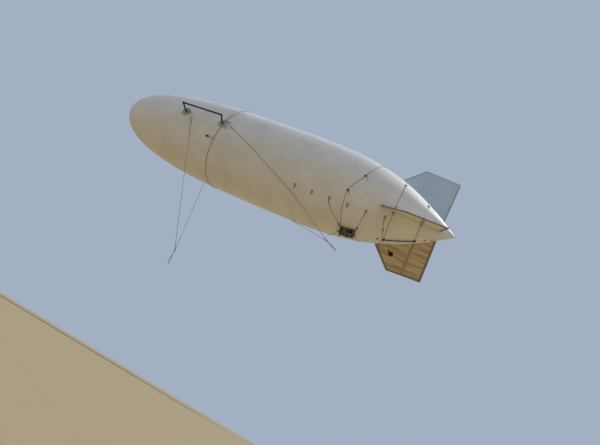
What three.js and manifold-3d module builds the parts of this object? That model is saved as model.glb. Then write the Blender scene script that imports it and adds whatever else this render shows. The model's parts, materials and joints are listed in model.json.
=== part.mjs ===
// Tethered aerostat: a 12.5 m gas envelope with three tail fins, handling frames, rigging and payload.
// Millimetres. +X runs from the nose to the tail, +Y to starboard, +Z up.
// The origin is the centre of buoyancy, on the envelope's axis.
// A station is a distance from the nose tip along the axis.
// An angle around the envelope is counted from the top towards port, so 90 is port and 180 the belly.
import * as THREE from 'three';
import { mergeVertices } from 'three/addons/utils/BufferGeometryUtils.js';
import Module from 'manifold-3d';

const wasm = await Module();
wasm.setup();

// Envelope
const ENVELOPE_LENGTH = 12500;
const ENVELOPE_RADIUS = 1475;
const ENVELOPE_WALL = 10;
const WIDEST_STATION = 6975;
const BOW_POWER = 3.43;
const BOW_ROUNDNESS = 2.05;
const STERN_POWER = 2.84;
const STERN_ROUNDNESS = 0.96;
const BUOYANCY_STATION = 6150;
const BOW_STEPS = 11;
const STERN_STEPS = 11;
const BOW_SPACING = 2.2;
const STERN_SPACING = 1.35;
const AROUND = 48;

// Seated pieces are made with a root that reaches into the envelope, and cut back to the seat gap
const SEAT_GAP = 0.3;
const SEAT_ROOT = 12;

// Depth of the plain shapes that holes, patches and tabs are cut out with
const CUT_DEPTH = 80;

// Gas valve in the top of the envelope
const VALVE = { station: 6150, radius: 90, flange: 135, flange_thickness: 6, inside: 22, rise: 16 };

// Fabric and webbing
const PATCH_THICKNESS = 3;
const BELT_THICKNESS = 4;
const BELT_WIDTH = 34;

// Fins, as corners of the tube centre lines: station and height above the axis
const FIN_TUBE_RADIUS = 21;
const FIN_TUBE_SIDES = 10;
const FIN_COVER_THICKNESS = 34;
const FIN_LEADING_ROOT = [9880, 790];
const FIN_LEADING_TIP = [10932, 2068];
const FIN_TRAILING_TIP = [12078, 1990];
const FIN_TRAILING_ROOT = [12006, 150];
const FINS = [
  { name: 'fin_top', angle: 0 },
  { name: 'fin_port', angle: 120 },
  { name: 'fin_starboard', angle: 240 },
];
const FIN_CAP = { angle: 240, place: [10879, 1413], radius: 88, top_radius: 62, rise: 22 };
const FIN_CAP_STRAP = { end: [10757, 1288], radius: 6 };

// Tail belts with their webbing tabs, and the keel rod between them
const BELT_STATIONS = { belt_front: 10565, belt_rear: 11420 };
const BELT_TAB = { length: 96, span: 160, from_fin: 22, thickness: 7 };
const KEEL_ROD_RADIUS = 13;
const KEEL_ROD_STEPS = 6;
const KEEL_CLAMP = { length: 70, width: 62, height: 40, lift: BELT_THICKNESS + 2 * SEAT_GAP };
const KEEL_TAB = { width: 40, length: 90 };
const KEEL_TABS = [
  { name: 'keel_tab_front', station: 10379 },
  { name: 'keel_tab_middle', station: 11697 },
  { name: 'keel_tab_rear', station: 11883 },
];

// Finger patches of the payload rows
const FINGER_COUNT = 6;
const FINGER_FIRST_STATION = 7560;
const FINGER_PITCH = 567;
const FINGER_ANGLE = 135.5;
const FINGER_WIDTH = 58;
const FINGER_LENGTH = 160;
const FINGER_TAB = { length: 26, width: 22, rise: 15, offset: 62 };

// Handling frames on both sides, their rails further aft than their feet
const FRAME_STATIONS = { front: 2980, rear: 4450 };
const FRAME_ANGLE = 95;
const FRAME_STAND_OFF = 430;
const FRAME_SWEEP = 87;
const FRAME_STUB = 34;
const FRAME_TUBE_RADIUS = 25;
const FOOT_PATCH_RADIUS = 160;
const FOOT_SOCKET_RADIUS = 31;
const FOOT_SOCKET_HEIGHT = 46;

// Girth cable with its tensioner
const GIRTH_RADIUS = 7;
const GIRTH_STATION = 4505;
const GIRTH_LEAN = 150;
const GIRTH_LIFT = 4;
const TENSIONER = { station: 4184, angle: 118.3, length: 96, width: 60, rise: 34, rod_radius: 6 };

// Bridles: a patch on each side, a line from each patch, their junction ring and a swivel.
// Junctions and swivel ends lie below the axis: station and drop.
// A line that lies on the envelope before it runs free has the places where it lies in its wrap.
const LINE_RADIUS = 7;
const LINE_LIFT = 4.5;
const LINE_SIDES = 8;
const LINE_STEPS = 8;

// A laid line has a point at least every so many degrees around the envelope
const LAID_STEP = 8;

// Lines are made to run this much into what holds their ends, and cut back to the seat gap
const LINE_END = 4;

// A bridle line's free part starts straight: it has a point this share of the way to the ring
const FREE_SHARE = 0.2;
const BRIDLE_PATCH_RADIUS = 120;
const BRIDLE_TAB = { length: 62, radius: 15, lift: 11.5 };
const BRIDLES = [
  {
    name: 'nose_bridle',
    patch: { station: 3330, angle: 103 },
    wrap: [
      { station: 3394, angle: 109.4 },
      { station: 3415, angle: 111.5 },
    ],
    steps: 24,
    junction: { station: 5010, drop: 4230 },
    swivel_end: { station: 5083, drop: 4636 },
  },
  {
    name: 'main_bridle',
    patch: { station: 4750, angle: 95.5 },
    wrap: [
      { station: 5120, angle: 101.3 },
      { station: 5600, angle: 109.2 },
      { station: 6080, angle: 117.2 },
      { station: 6560, angle: 126.0 },
      { station: 7040, angle: 135.1 },
      { station: 7470, angle: 143.9 },
    ],
    steps: 18,
    junction: { station: 9060, drop: 1849 },
    swivel_end: { station: 9422, drop: 2017 },
  },
];
const JUNCTION = { ring_radius: 34, wire: 9, shank_radius: 15, shank_length: 96 };
const SWIVEL = {
  radius: 21,
  length: 120,
  plate_width: 64,
  plate_thickness: 16,
  eye_radius: 13,
  eye_inset: 34,
};

// Payload case against the belly
const PAYLOAD = { station: 9480, angle: 172.5, length: 450, width: 200, height: 190, frame: 14, recess: 12 };
const PAYLOAD_END = { thickness: 22, overhang: 8 };
const SIDE_CAMERA = { radius: 46, depth: 26, x: 55, z: -105, hood_radius: 28, hood_length: 14 };

// Lines between the case and the finger patches, by the number of the patch in its row
const PAYLOAD_LINE_RADIUS = 6;
const PAYLOAD_LINE_INSET = 42;
const PAYLOAD_LINE_DEPTH = 26;
const PAYLOAD_LINES = [
  { end: 'front', towards: -1, finger: 3 },
  { end: 'rear', towards: 1, finger: 5 },
];

// Strap from the front of the case over the top of the envelope and back, given for its port half
const STRAP_RADIUS = 6;
const STRAP_INSET = 15;
const STRAP_ROUTE = [
  { station: 9160, angle: 148 },
  { station: 9118, angle: 118 },
  { station: 9290, angle: 102 },
  { station: 9408, angle: 90.6 },
  { station: 9545, angle: 72 },
  { station: 9623, angle: 58 },
  { station: 9740, angle: 29 },
];
const STRAP_TOP_STATION = 9780;
const STRAP_STEPS = 54;
const STRAP_CLAMPS = [STRAP_ROUTE[1], STRAP_ROUTE[3]];
const STRAP_CLAMP = { length: 74, width: 40, rise: 30 };

// Toggle lines from the last finger patches to the front end of the keel rod
const TOGGLE_LINE_RADIUS = 5;
const TOGGLE = { radius: 16, length: 84, end_lift: 17, end_offset: 17 };

// Gimbal camera under the payload case
const GIMBAL = {
  x: 20,
  base_radius: 40,
  base_height: 18,
  yoke_radius: 36,
  yoke_plate: 10,
  bar_height: 9,
  arm_root: 2,
  arm_width: 30,
  arm_thickness: 8,
  ball_radius: 31,
  ball_gap: 6,
  pin_radius: 5,
  lens_radius: 15,
  lens_length: 8,
};

const COLOURS = {
  envelope: { color: 0xdcdad2, roughness: 0.55, metalness: 0 },
  patch: { color: 0x8d9096, roughness: 0.75, metalness: 0 },
  fin: { color: 0xc9c3b6, roughness: 0.7, metalness: 0 },
  dark_tube: { color: 0x17181a, roughness: 0.5, metalness: 0 },
  webbing: { color: 0x4a443c, roughness: 0.85, metalness: 0 },
  rope: { color: 0x35332f, roughness: 0.9, metalness: 0 },
  red: { color: 0x8e0f14, roughness: 0.4, metalness: 0 },
  case: { color: 0x6b4a2a, roughness: 0.7, metalness: 0 },
  steel: { color: 0x7c7f83, roughness: 0.35, metalness: 1 },
  black: { color: 0x101112, roughness: 0.4, metalness: 0 },
};

const SIDES = [['port', 1], ['starboard', -1]];
const radians = THREE.MathUtils.degToRad;
const group = new THREE.Group();

function at(station) {
  return station - BUOYANCY_STATION;
}

// Solids
function toManifold(geometry) {
  const plain = geometry.clone();
  plain.deleteAttribute('normal');
  plain.deleteAttribute('uv');
  const merged = mergeVertices(plain, 1e-4);
  const index = merged.index.array;
  const triangles = [];
  for (let i = 0; i < index.length; i += 3) {
    const [a, b, c] = [index[i], index[i + 1], index[i + 2]];
    if (a !== b && b !== c && c !== a) {
      triangles.push(a, b, c);
    }
  }
  const mesh = new wasm.Mesh({
    numProp: 3,
    vertProperties: new Float32Array(merged.attributes.position.array),
    triVerts: new Uint32Array(triangles),
  });
  return new wasm.Manifold(mesh);
}

function toGeometry(solid) {
  const mesh = solid.getMesh();
  const geometry = new THREE.BufferGeometry();
  geometry.setAttribute('position', new THREE.BufferAttribute(mesh.vertProperties, 3));
  geometry.setIndex(new THREE.BufferAttribute(mesh.triVerts, 1));
  geometry.computeVertexNormals();
  return geometry;
}

function joined(solids) {
  return solids.reduce((sum, solid) => sum.add(solid));
}

function addPart(name, shape, colour, parent = group) {
  const geometry = shape.isBufferGeometry ? shape : toGeometry(shape);
  const mesh = new THREE.Mesh(geometry, new THREE.MeshStandardMaterial(COLOURS[colour]));
  mesh.name = name;
  parent.add(mesh);
}

// Envelope outline: radius at a station, and its points as [station, radius]
function envelopeRadius(station) {
  if (station < WIDEST_STATION) {
    const u = (WIDEST_STATION - station) / WIDEST_STATION;
    return ENVELOPE_RADIUS * (1 - u ** BOW_POWER) ** (1 / BOW_ROUNDNESS);
  }
  const u = Math.min((station - WIDEST_STATION) / (ENVELOPE_LENGTH - WIDEST_STATION), 1);
  return ENVELOPE_RADIUS * (1 - u ** STERN_POWER) ** (1 / STERN_ROUNDNESS);
}

function envelopeOutline() {
  const points = [];
  for (let i = 0; i <= BOW_STEPS; i += 1) {
    const station = WIDEST_STATION * (i / BOW_STEPS) ** BOW_SPACING;
    points.push([station, i === 0 ? 0 : envelopeRadius(station)]);
  }
  for (let i = 1; i <= STERN_STEPS; i += 1) {
    const share = 1 - (1 - i / STERN_STEPS) ** STERN_SPACING;
    const station = WIDEST_STATION + (ENVELOPE_LENGTH - WIDEST_STATION) * share;
    points.push([station, i === STERN_STEPS ? 0 : envelopeRadius(station)]);
  }
  return points;
}

const OUTLINE = envelopeOutline();

// Radius and slope of the faceted envelope at a station
function outlineAt(station) {
  let i = 1;
  while (i < OUTLINE.length - 1 && OUTLINE[i][0] < station) {
    i += 1;
  }
  const [x0, r0] = OUTLINE[i - 1];
  const [x1, r1] = OUTLINE[i];
  const slope = (r1 - r0) / (x1 - x0);
  return { radius: r0 + slope * (station - x0), slope };
}

// The outline moved outwards by a distance, with its segments parallel
function movedOutline(distance) {
  const normals = [];
  for (let i = 1; i < OUTLINE.length; i += 1) {
    const along = new THREE.Vector2(OUTLINE[i][0] - OUTLINE[i - 1][0], OUTLINE[i][1] - OUTLINE[i - 1][1]);
    normals.push(new THREE.Vector2(-along.y, along.x).normalize());
  }
  return OUTLINE.map(([station, radius], i) => {
    if (i === 0) {
      return [station + distance / normals[0].x, 0];
    }
    if (i === OUTLINE.length - 1) {
      return [station + distance / normals[i - 1].x, 0];
    }
    const sum = normals[i - 1].clone().add(normals[i]);
    const scale = (2 * distance) / sum.lengthSq();
    return [station + sum.x * scale, radius + sum.y * scale];
  });
}

function revolved(points) {
  const profile = points.map(([station, radius]) => new THREE.Vector2(Math.max(radius, 0), at(station)));
  const lathe = new THREE.LatheGeometry(profile, AROUND);
  lathe.rotateZ(-Math.PI / 2);
  return toManifold(lathe);
}

function envelopeSolid(distance) {
  return revolved(movedOutline(distance));
}

const ENVELOPE_SEAT = envelopeSolid(SEAT_GAP);

// Places on the envelope
function surfaceFrame(station, angle, lift = 0) {
  const { radius, slope } = outlineAt(station);
  const tilt = Math.atan(-slope);
  const a = radians(angle);
  const outward = new THREE.Vector3(0, -Math.sin(a), Math.cos(a));
  const normal = outward.clone().multiplyScalar(Math.cos(tilt)).add(new THREE.Vector3(Math.sin(tilt), 0, 0));
  const along = outward.clone().multiplyScalar(-Math.sin(tilt)).add(new THREE.Vector3(Math.cos(tilt), 0, 0));
  const across = normal.clone().cross(along);
  const point = outward.multiplyScalar(radius).add(new THREE.Vector3(at(station), 0, 0));
  point.addScaledVector(normal, lift);
  return { point, normal, along, across };
}

function surfacePoint(station, angle, lift) {
  return surfaceFrame(station, angle, lift).point;
}

// Moves a geometry so that its X runs along the envelope, its Z along the outward normal
function ontoSurface(geometry, station, angle, lift = 0) {
  const { point, normal, along, across } = surfaceFrame(station, angle, lift);
  const placed = geometry.clone();
  placed.applyMatrix4(new THREE.Matrix4().makeBasis(along, across, normal).setPosition(point));
  return toManifold(placed);
}

function skin(thickness) {
  return envelopeSolid(SEAT_GAP + thickness).subtract(ENVELOPE_SEAT);
}

const PATCH_SKIN = skin(PATCH_THICKNESS);
const TAB_SKIN = skin(BELT_TAB.thickness);

function box(x, y, z) {
  return new THREE.BoxGeometry(x, y, z);
}

// A block on the envelope whose foot follows the envelope's surface
function seatedBlock({ length, width, rise }, station, angle, offset = 0) {
  const block = box(length, width, rise + SEAT_ROOT).translate(0, offset, (rise - SEAT_ROOT) / 2);
  return ontoSurface(block, station, angle).subtract(ENVELOPE_SEAT);
}

// A plate with round ends, its length along Y and its thickness along Z
function roundEnded(width, length) {
  const r = width / 2;
  const half = length / 2 - r;
  const shape = new THREE.Shape();
  shape.absarc(0, half, r, 0, Math.PI);
  shape.absarc(0, -half, r, Math.PI, 2 * Math.PI);
  const plate = new THREE.ExtrudeGeometry(shape, { depth: CUT_DEPTH, bevelEnabled: false, curveSegments: 4 });
  plate.translate(0, 0, -CUT_DEPTH / 2);
  return plate;
}

function disc(radius, depth, sides = 24) {
  const cylinder = new THREE.CylinderGeometry(radius, radius, depth, sides);
  cylinder.rotateX(Math.PI / 2);
  return cylinder;
}

function placedAlong(geometry, from, to) {
  const direction = to.clone().sub(from).normalize();
  const turn = new THREE.Quaternion().setFromUnitVectors(new THREE.Vector3(0, 1, 0), direction);
  const placed = geometry.clone();
  placed.applyQuaternion(turn);
  const middle = from.clone().add(to).multiplyScalar(0.5);
  placed.translate(middle.x, middle.y, middle.z);
  return placed;
}

function rod(from, to, radius, sides = 16) {
  const cylinder = new THREE.CylinderGeometry(radius, radius, from.distanceTo(to), sides);
  return toManifold(placedAlong(cylinder, from, to));
}

function ball(centre, radius, sides = 16) {
  const sphere = new THREE.SphereGeometry(radius, sides, sides / 2);
  sphere.translate(centre.x, centre.y, centre.z);
  return toManifold(sphere);
}

function lineAlong(points, radius, steps) {
  const section = new THREE.Shape();
  section.absarc(0, 0, radius, 0, 2 * Math.PI);
  const path = points.length === 2
    ? new THREE.LineCurve3(points[0], points[1])
    : new THREE.CatmullRomCurve3(points, false, 'centripetal');
  const options = { steps, curveSegments: LINE_SIDES / 2, bevelEnabled: false, extrudePath: path };
  return new THREE.ExtrudeGeometry(section, options);
}

// Envelope with a hole for the valve, and the valve that closes it
function addEnvelope() {
  const hollow = envelopeSolid(-ENVELOPE_WALL);
  const hole = ontoSurface(disc(VALVE.radius + SEAT_GAP, CUT_DEPTH), VALVE.station, 0);
  addPart('envelope', envelopeSolid(0).subtract(hollow).subtract(hole), 'envelope');

  const cutter = ontoSurface(disc(VALVE.flange, CUT_DEPTH), VALVE.station, 0);
  const flange = skin(VALVE.flange_thickness).intersect(cutter);
  const height = VALVE.inside + VALVE.rise;
  const plug = ontoSurface(disc(VALVE.radius, height), VALVE.station, 0, (VALVE.rise - VALVE.inside) / 2);
  addPart('gas_valve', flange.add(plug), 'steel');
}

// Fins: a tube frame along three edges and a fabric cover inside it
function finPoint(angle, [station, height]) {
  const a = radians(angle);
  return new THREE.Vector3(at(station), -height * Math.sin(a), height * Math.cos(a));
}

function beltBand(station, width, thickness, gap = SEAT_GAP) {
  const reach = ENVELOPE_RADIUS * 2;
  const slab = box(width, reach, reach).translate(at(station), 0, 0);
  const ring = envelopeSolid(gap + thickness).subtract(envelopeSolid(gap));
  return ring.intersect(toManifold(slab));
}

function addFins() {
  const centres = [FIN_LEADING_ROOT, FIN_LEADING_TIP, FIN_TRAILING_TIP, FIN_TRAILING_ROOT];
  const belts = Object.values(BELT_STATIONS).map((station) =>
    beltBand(station, BELT_WIDTH + 2 * SEAT_GAP, BELT_THICKNESS + 2 * SEAT_GAP, 0));
  const seat = joined([ENVELOPE_SEAT, ...belts]);
  const outline = new THREE.Shape(centres.map(([station, height]) => new THREE.Vector2(at(station), height)));
  const slab = new THREE.ExtrudeGeometry(outline, { depth: FIN_COVER_THICKNESS, bevelEnabled: false });
  slab.translate(0, 0, -FIN_COVER_THICKNESS / 2);
  slab.rotateX(Math.PI / 2);

  for (const { name, angle } of FINS) {
    const corners = centres.map((centre) => finPoint(angle, centre));
    const frame = (radius) => joined([
      rod(corners[0], corners[1], radius, FIN_TUBE_SIDES),
      rod(corners[1], corners[2], radius, FIN_TUBE_SIDES),
      rod(corners[2], corners[3], radius, FIN_TUBE_SIDES),
      ball(corners[1], radius, FIN_TUBE_SIDES),
      ball(corners[2], radius, FIN_TUBE_SIDES),
    ]);
    const cover = toManifold(slab.clone().rotateX(radians(angle)));
    addPart(`${name}_frame`, frame(FIN_TUBE_RADIUS).subtract(seat), 'dark_tube');
    addPart(`${name}_cover`, cover.subtract(frame(FIN_TUBE_RADIUS + SEAT_GAP)).subtract(seat), 'fin');
  }
}

// Red cap over the filling neck of the lower starboard fin, on the face that looks down to port
function addFinCap() {
  const { angle, place, radius, rise } = FIN_CAP;
  const strap = FIN_CAP_STRAP;
  const a = radians(angle);
  const normal = new THREE.Vector3(0, Math.cos(a), Math.sin(a));
  const face = FIN_COVER_THICKNESS / 2 + SEAT_GAP;
  const lifted = (spot, lift) => finPoint(angle, spot).addScaledVector(normal, face + lift);
  addPart('fin_starboard_cap', joined([
    rod(lifted(place, 0), lifted(place, rise / 2), radius, 24),
    rod(lifted(place, 0), lifted(place, rise), FIN_CAP.top_radius, 24),
    rod(lifted(place, strap.radius), lifted(strap.end, strap.radius), strap.radius, 8),
  ]), 'red');
}

function keelClamp(station, growth = 0) {
  const { length, width, height, lift } = KEEL_CLAMP;
  const block = box(length + 2 * growth, width + 2 * growth, height + 2 * growth);
  return ontoSurface(block, station, 180, lift + height / 2);
}

// Tail belts with a webbing tab on both sides of each fin, keel rod and keel tabs
function addTailRigging() {
  for (const [name, station] of Object.entries(BELT_STATIONS)) {
    const tabs = [];
    const radius = outlineAt(station).radius;
    for (const { angle } of FINS) {
      for (const side of [-1, 1]) {
        const middle = BELT_TAB.from_fin + BELT_TAB.span / 2;
        const turned = angle + side * THREE.MathUtils.radToDeg(middle / radius);
        const plate = roundEnded(BELT_TAB.length, BELT_TAB.span);
        tabs.push(TAB_SKIN.intersect(ontoSurface(plate, station, turned)));
      }
    }
    addPart(name, joined([beltBand(station, BELT_WIDTH, BELT_THICKNESS), ...tabs]), 'webbing');
  }

  const [front, rear] = Object.values(BELT_STATIONS);
  const lift = KEEL_CLAMP.lift + KEEL_CLAMP.height / 2;
  const places = [];
  for (let i = 0; i <= KEEL_ROD_STEPS; i += 1) {
    places.push(surfacePoint(front + (rear - front) * i / KEEL_ROD_STEPS, 180, lift));
  }
  const clamps = [front, rear].map((station) => keelClamp(station));
  const keelRod = toManifold(lineAlong(places, KEEL_ROD_RADIUS, KEEL_ROD_STEPS));
  addPart('keel_rod', joined([keelRod, ...clamps]), 'dark_tube');

  for (const { name, station } of KEEL_TABS) {
    const plate = roundEnded(KEEL_TAB.width, KEEL_TAB.length).rotateZ(Math.PI / 2);
    addPart(name, PATCH_SKIN.intersect(ontoSurface(plate, station, 180)), 'webbing');
  }
}

// A row of finger patches on each side, each with a webbing tab at its lower end
function fingerStation(number) {
  return FINGER_FIRST_STATION + FINGER_PITCH * (number - 1);
}

function fingerTab(number, sign, growth = 0) {
  const { length, width, rise, offset } = FINGER_TAB;
  const size = { length: length + 2 * growth, width: width + 2 * growth, rise: rise + growth };
  return seatedBlock(size, fingerStation(number), sign * FINGER_ANGLE, -sign * offset);
}

// The middle of a tab's lower face, where a line starts
function fingerTabEnd(number, sign, radius) {
  const { point, across } = surfaceFrame(fingerStation(number), sign * FINGER_ANGLE, LINE_LIFT + radius);
  return point.addScaledVector(across, -sign * (FINGER_TAB.offset + FINGER_TAB.width / 2 - LINE_END));
}

function addFingerPatches() {
  for (const [side, sign] of SIDES) {
    for (let number = 1; number <= FINGER_COUNT; number += 1) {
      const station = fingerStation(number);
      const angle = sign * FINGER_ANGLE;
      const cutter = ontoSurface(roundEnded(FINGER_WIDTH, FINGER_LENGTH), station, angle);
      const patch = PATCH_SKIN.intersect(cutter);
      addPart(`finger_${side}_${number}`, patch.add(fingerTab(number, sign)), 'patch');
    }
  }
}

// Handling frame: a tube rail on two leaning legs, held by sockets on round patches
function addHandlingFrames() {
  for (const [side, sign] of SIDES) {
    const angle = sign * FRAME_ANGLE;
    const tops = [];
    const solids = [];
    for (const [end, station] of Object.entries(FRAME_STATIONS)) {
      const { point, normal, along } = surfaceFrame(station, angle);
      const patch = PATCH_SKIN.intersect(ontoSurface(disc(FOOT_PATCH_RADIUS, CUT_DEPTH), station, angle));
      const socketTop = point.clone().addScaledVector(normal, FOOT_SOCKET_HEIGHT);
      const root = point.clone().addScaledVector(normal, -SEAT_ROOT);
      const socket = rod(root, socketTop, FOOT_SOCKET_RADIUS).subtract(ENVELOPE_SEAT);
      addPart(`foot_${side}_${end}`, patch.add(socket), 'patch');
      const foot = socketTop.clone().addScaledVector(normal, SEAT_GAP);
      const knee = foot.clone().addScaledVector(normal, FRAME_STUB);
      const top = point.clone().addScaledVector(normal, FRAME_STAND_OFF).addScaledVector(along, FRAME_SWEEP);
      tops.push(top);
      solids.push(rod(foot, knee, FRAME_TUBE_RADIUS, 12), ball(knee, FRAME_TUBE_RADIUS, 12));
      solids.push(rod(knee, top, FRAME_TUBE_RADIUS, 12), ball(top, FRAME_TUBE_RADIUS, 12));
    }
    solids.push(rod(tops[0], tops[1], FRAME_TUBE_RADIUS, 12));
    addPart(`handling_frame_${side}`, joined(solids), 'dark_tube');
  }
}

// Girth cable around the forward hull, leaning aft at the top, with its tensioner
function girthStation(angle) {
  return GIRTH_STATION + GIRTH_LEAN * Math.cos(radians(angle));
}

function addGirth() {
  const lift = GIRTH_LIFT + GIRTH_RADIUS;
  const ring = new THREE.TorusGeometry(1, GIRTH_RADIUS / ENVELOPE_RADIUS, LINE_SIDES, AROUND);
  const places = ring.attributes.position;
  const place = new THREE.Vector3();
  for (let i = 0; i < places.count; i += 1) {
    place.fromBufferAttribute(places, i);
    const angle = THREE.MathUtils.radToDeg(Math.atan2(-place.x, place.y));
    const rise = (Math.hypot(place.x, place.y) - 1) * ENVELOPE_RADIUS;
    const { point, along } = surfaceFrame(girthStation(angle), angle, lift + rise);
    point.addScaledVector(along, place.z * ENVELOPE_RADIUS);
    places.setXYZ(i, point.x, point.y, point.z);
  }
  addPart('girth_cable', toManifold(ring), 'rope');

  const { station, angle } = TENSIONER;
  const body = seatedBlock(TENSIONER, station, angle);
  const start = surfacePoint(station, angle, lift);
  const end = surfacePoint(girthStation(angle) - GIRTH_RADIUS - 2 * SEAT_GAP, angle, lift);
  addPart('girth_tensioner', body.add(rod(start, end, TENSIONER.rod_radius, LINE_SIDES)), 'black');
}

// Bridles: patches with tabs, lines, the ring junction that joins them, and a swivel for the tether
function belowAxis({ station, drop }) {
  return new THREE.Vector3(at(station), 0, -drop);
}

function junctionRing(place, growth = 0) {
  const ring = new THREE.TorusGeometry(JUNCTION.ring_radius, JUNCTION.wire + growth, 8, 20);
  return toManifold(ring.applyMatrix4(place));
}

function addBridleSide(bridle, side, sign, place) {
  const { name, patch, wrap, steps } = bridle;
  const laid = wrap.map((place) => surfacePoint(place.station, sign * place.angle, LINE_LIFT + LINE_RADIUS));
  const { point, normal } = surfaceFrame(patch.station, sign * patch.angle);
  const heading = laid[0].clone().sub(point);
  heading.addScaledVector(normal, -heading.dot(normal)).normalize();

  const cutter = disc(BRIDLE_PATCH_RADIUS, CUT_DEPTH);
  const disk = PATCH_SKIN.intersect(ontoSurface(cutter, patch.station, sign * patch.angle));
  const tabStart = point.clone().addScaledVector(normal, BRIDLE_TAB.lift);
  const tabEnd = tabStart.clone().addScaledVector(heading, BRIDLE_TAB.length);
  const tab = rod(tabStart, tabEnd, BRIDLE_TAB.radius, 12).subtract(ENVELOPE_SEAT);
  addPart(`${name}_patch_${side}`, disk.add(tab), 'patch');

  const start = tabEnd.clone().addScaledVector(heading, -LINE_END);
  const held = rod(tabStart, tabEnd.clone().addScaledVector(heading, SEAT_GAP), BRIDLE_TAB.radius, 12);
  const last = laid.at(-1);
  const inRing = last.clone().applyMatrix4(place.clone().invert()).setZ(0).setLength(JUNCTION.ring_radius);
  const finish = inRing.applyMatrix4(place);
  const free = last.clone().lerp(finish, FREE_SHARE);
  const line = toManifold(lineAlong([start, ...laid, free, finish], LINE_RADIUS, steps));
  addPart(`${name}_line_${side}`, line.subtract(junctionRing(place, SEAT_GAP)).subtract(held), 'rope');
}

function addBridles() {
  for (const bridle of BRIDLES) {
    const knot = belowAxis(bridle.junction);
    const end = belowAxis(bridle.swivel_end);
    const down = end.clone().sub(knot).normalize();
    const across = new THREE.Vector3(0, 1, 0);
    const upright = new THREE.Matrix4().makeBasis(across, down, across.clone().cross(down));
    const place = upright.clone().setPosition(knot);
    for (const [side, sign] of SIDES) {
      addBridleSide(bridle, side, sign, place);
    }

    const shankStart = knot.clone().addScaledVector(down, JUNCTION.ring_radius);
    const shankEnd = shankStart.clone().addScaledVector(down, JUNCTION.shank_length);
    const shank = rod(shankStart, shankEnd, JUNCTION.shank_radius, 12);
    addPart(`${bridle.name}_junction`, junctionRing(place).add(shank), 'steel');

    const top = shankEnd.clone().addScaledVector(down, SEAT_GAP);
    const neck = top.clone().addScaledVector(down, SWIVEL.length);
    const plate = box(SWIVEL.plate_width, end.distanceTo(top), SWIVEL.plate_thickness);
    plate.applyMatrix4(upright.clone().setPosition(top.clone().add(end).multiplyScalar(0.5)));
    const eye = disc(SWIVEL.eye_radius, 2 * SWIVEL.plate_thickness, 16);
    eye.applyMatrix4(upright.clone().setPosition(end.clone().addScaledVector(down, -SWIVEL.eye_inset)));
    const body = rod(top, neck, SWIVEL.radius);
    addPart(`${bridle.name}_swivel`, body.add(toManifold(plate)).subtract(toManifold(eye)), 'steel');
  }
}

// Payload case: its local X runs aft, its local Z points up into the envelope, its top is at Z 0
function payloadPlace() {
  return surfaceFrame(PAYLOAD.station, PAYLOAD.angle, 2 * SEAT_GAP);
}

function payloadGroup() {
  const { point, along, across, normal } = payloadPlace();
  const basis = new THREE.Matrix4().makeBasis(along, across.clone().negate(), normal.clone().negate());
  const placed = new THREE.Group();
  placed.quaternion.setFromRotationMatrix(basis);
  placed.position.copy(point);
  group.add(placed);
  return placed;
}

// Turned solids along Y and along Z, from a low to a high coordinate
function turnedAlongY(radius, x, z, low, high, sides = 20) {
  const cylinder = new THREE.CylinderGeometry(radius, radius, high - low, sides);
  return toManifold(cylinder.translate(x, (low + high) / 2, z));
}

function turnedAlongZ(radius, x, low, high) {
  return toManifold(disc(radius, high - low).translate(x, 0, (low + high) / 2));
}

function addPayload() {
  const placed = payloadGroup();
  const { length, width, height, frame, recess } = PAYLOAD;
  const { thickness, overhang } = PAYLOAD_END;
  const side = -width / 2;
  const { x, z, radius, depth } = SIDE_CAMERA;
  const pieces = [box(length, width, height).translate(0, 0, -height / 2)];
  for (const end of [-1, 1]) {
    const cap = box(thickness, width + 2 * overhang, height);
    pieces.push(cap.translate(end * (length - thickness) / 2, 0, -height / 2 - overhang));
  }
  const panel = box(length - 2 * (thickness + frame), 2 * recess, height - 2 * frame);
  const panels = [-1, 1].map((hand) => toManifold(panel.clone().translate(0, hand * side, -height / 2)));
  const bore = turnedAlongY(radius + SEAT_GAP, x, z, side - depth, side + depth);
  const shell = joined(pieces.map(toManifold)).subtract(joined(panels)).subtract(bore);
  addPart('payload_case', shell, 'case', placed);

  const inner = side + depth - SEAT_GAP;
  const barrel = turnedAlongY(radius, x, z, side, inner);
  const hood = turnedAlongY(SIDE_CAMERA.hood_radius, x, z, side - SIDE_CAMERA.hood_length, inner);
  addPart('side_camera', barrel.add(hood), 'black', placed);
  addGimbal(placed);
}

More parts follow.
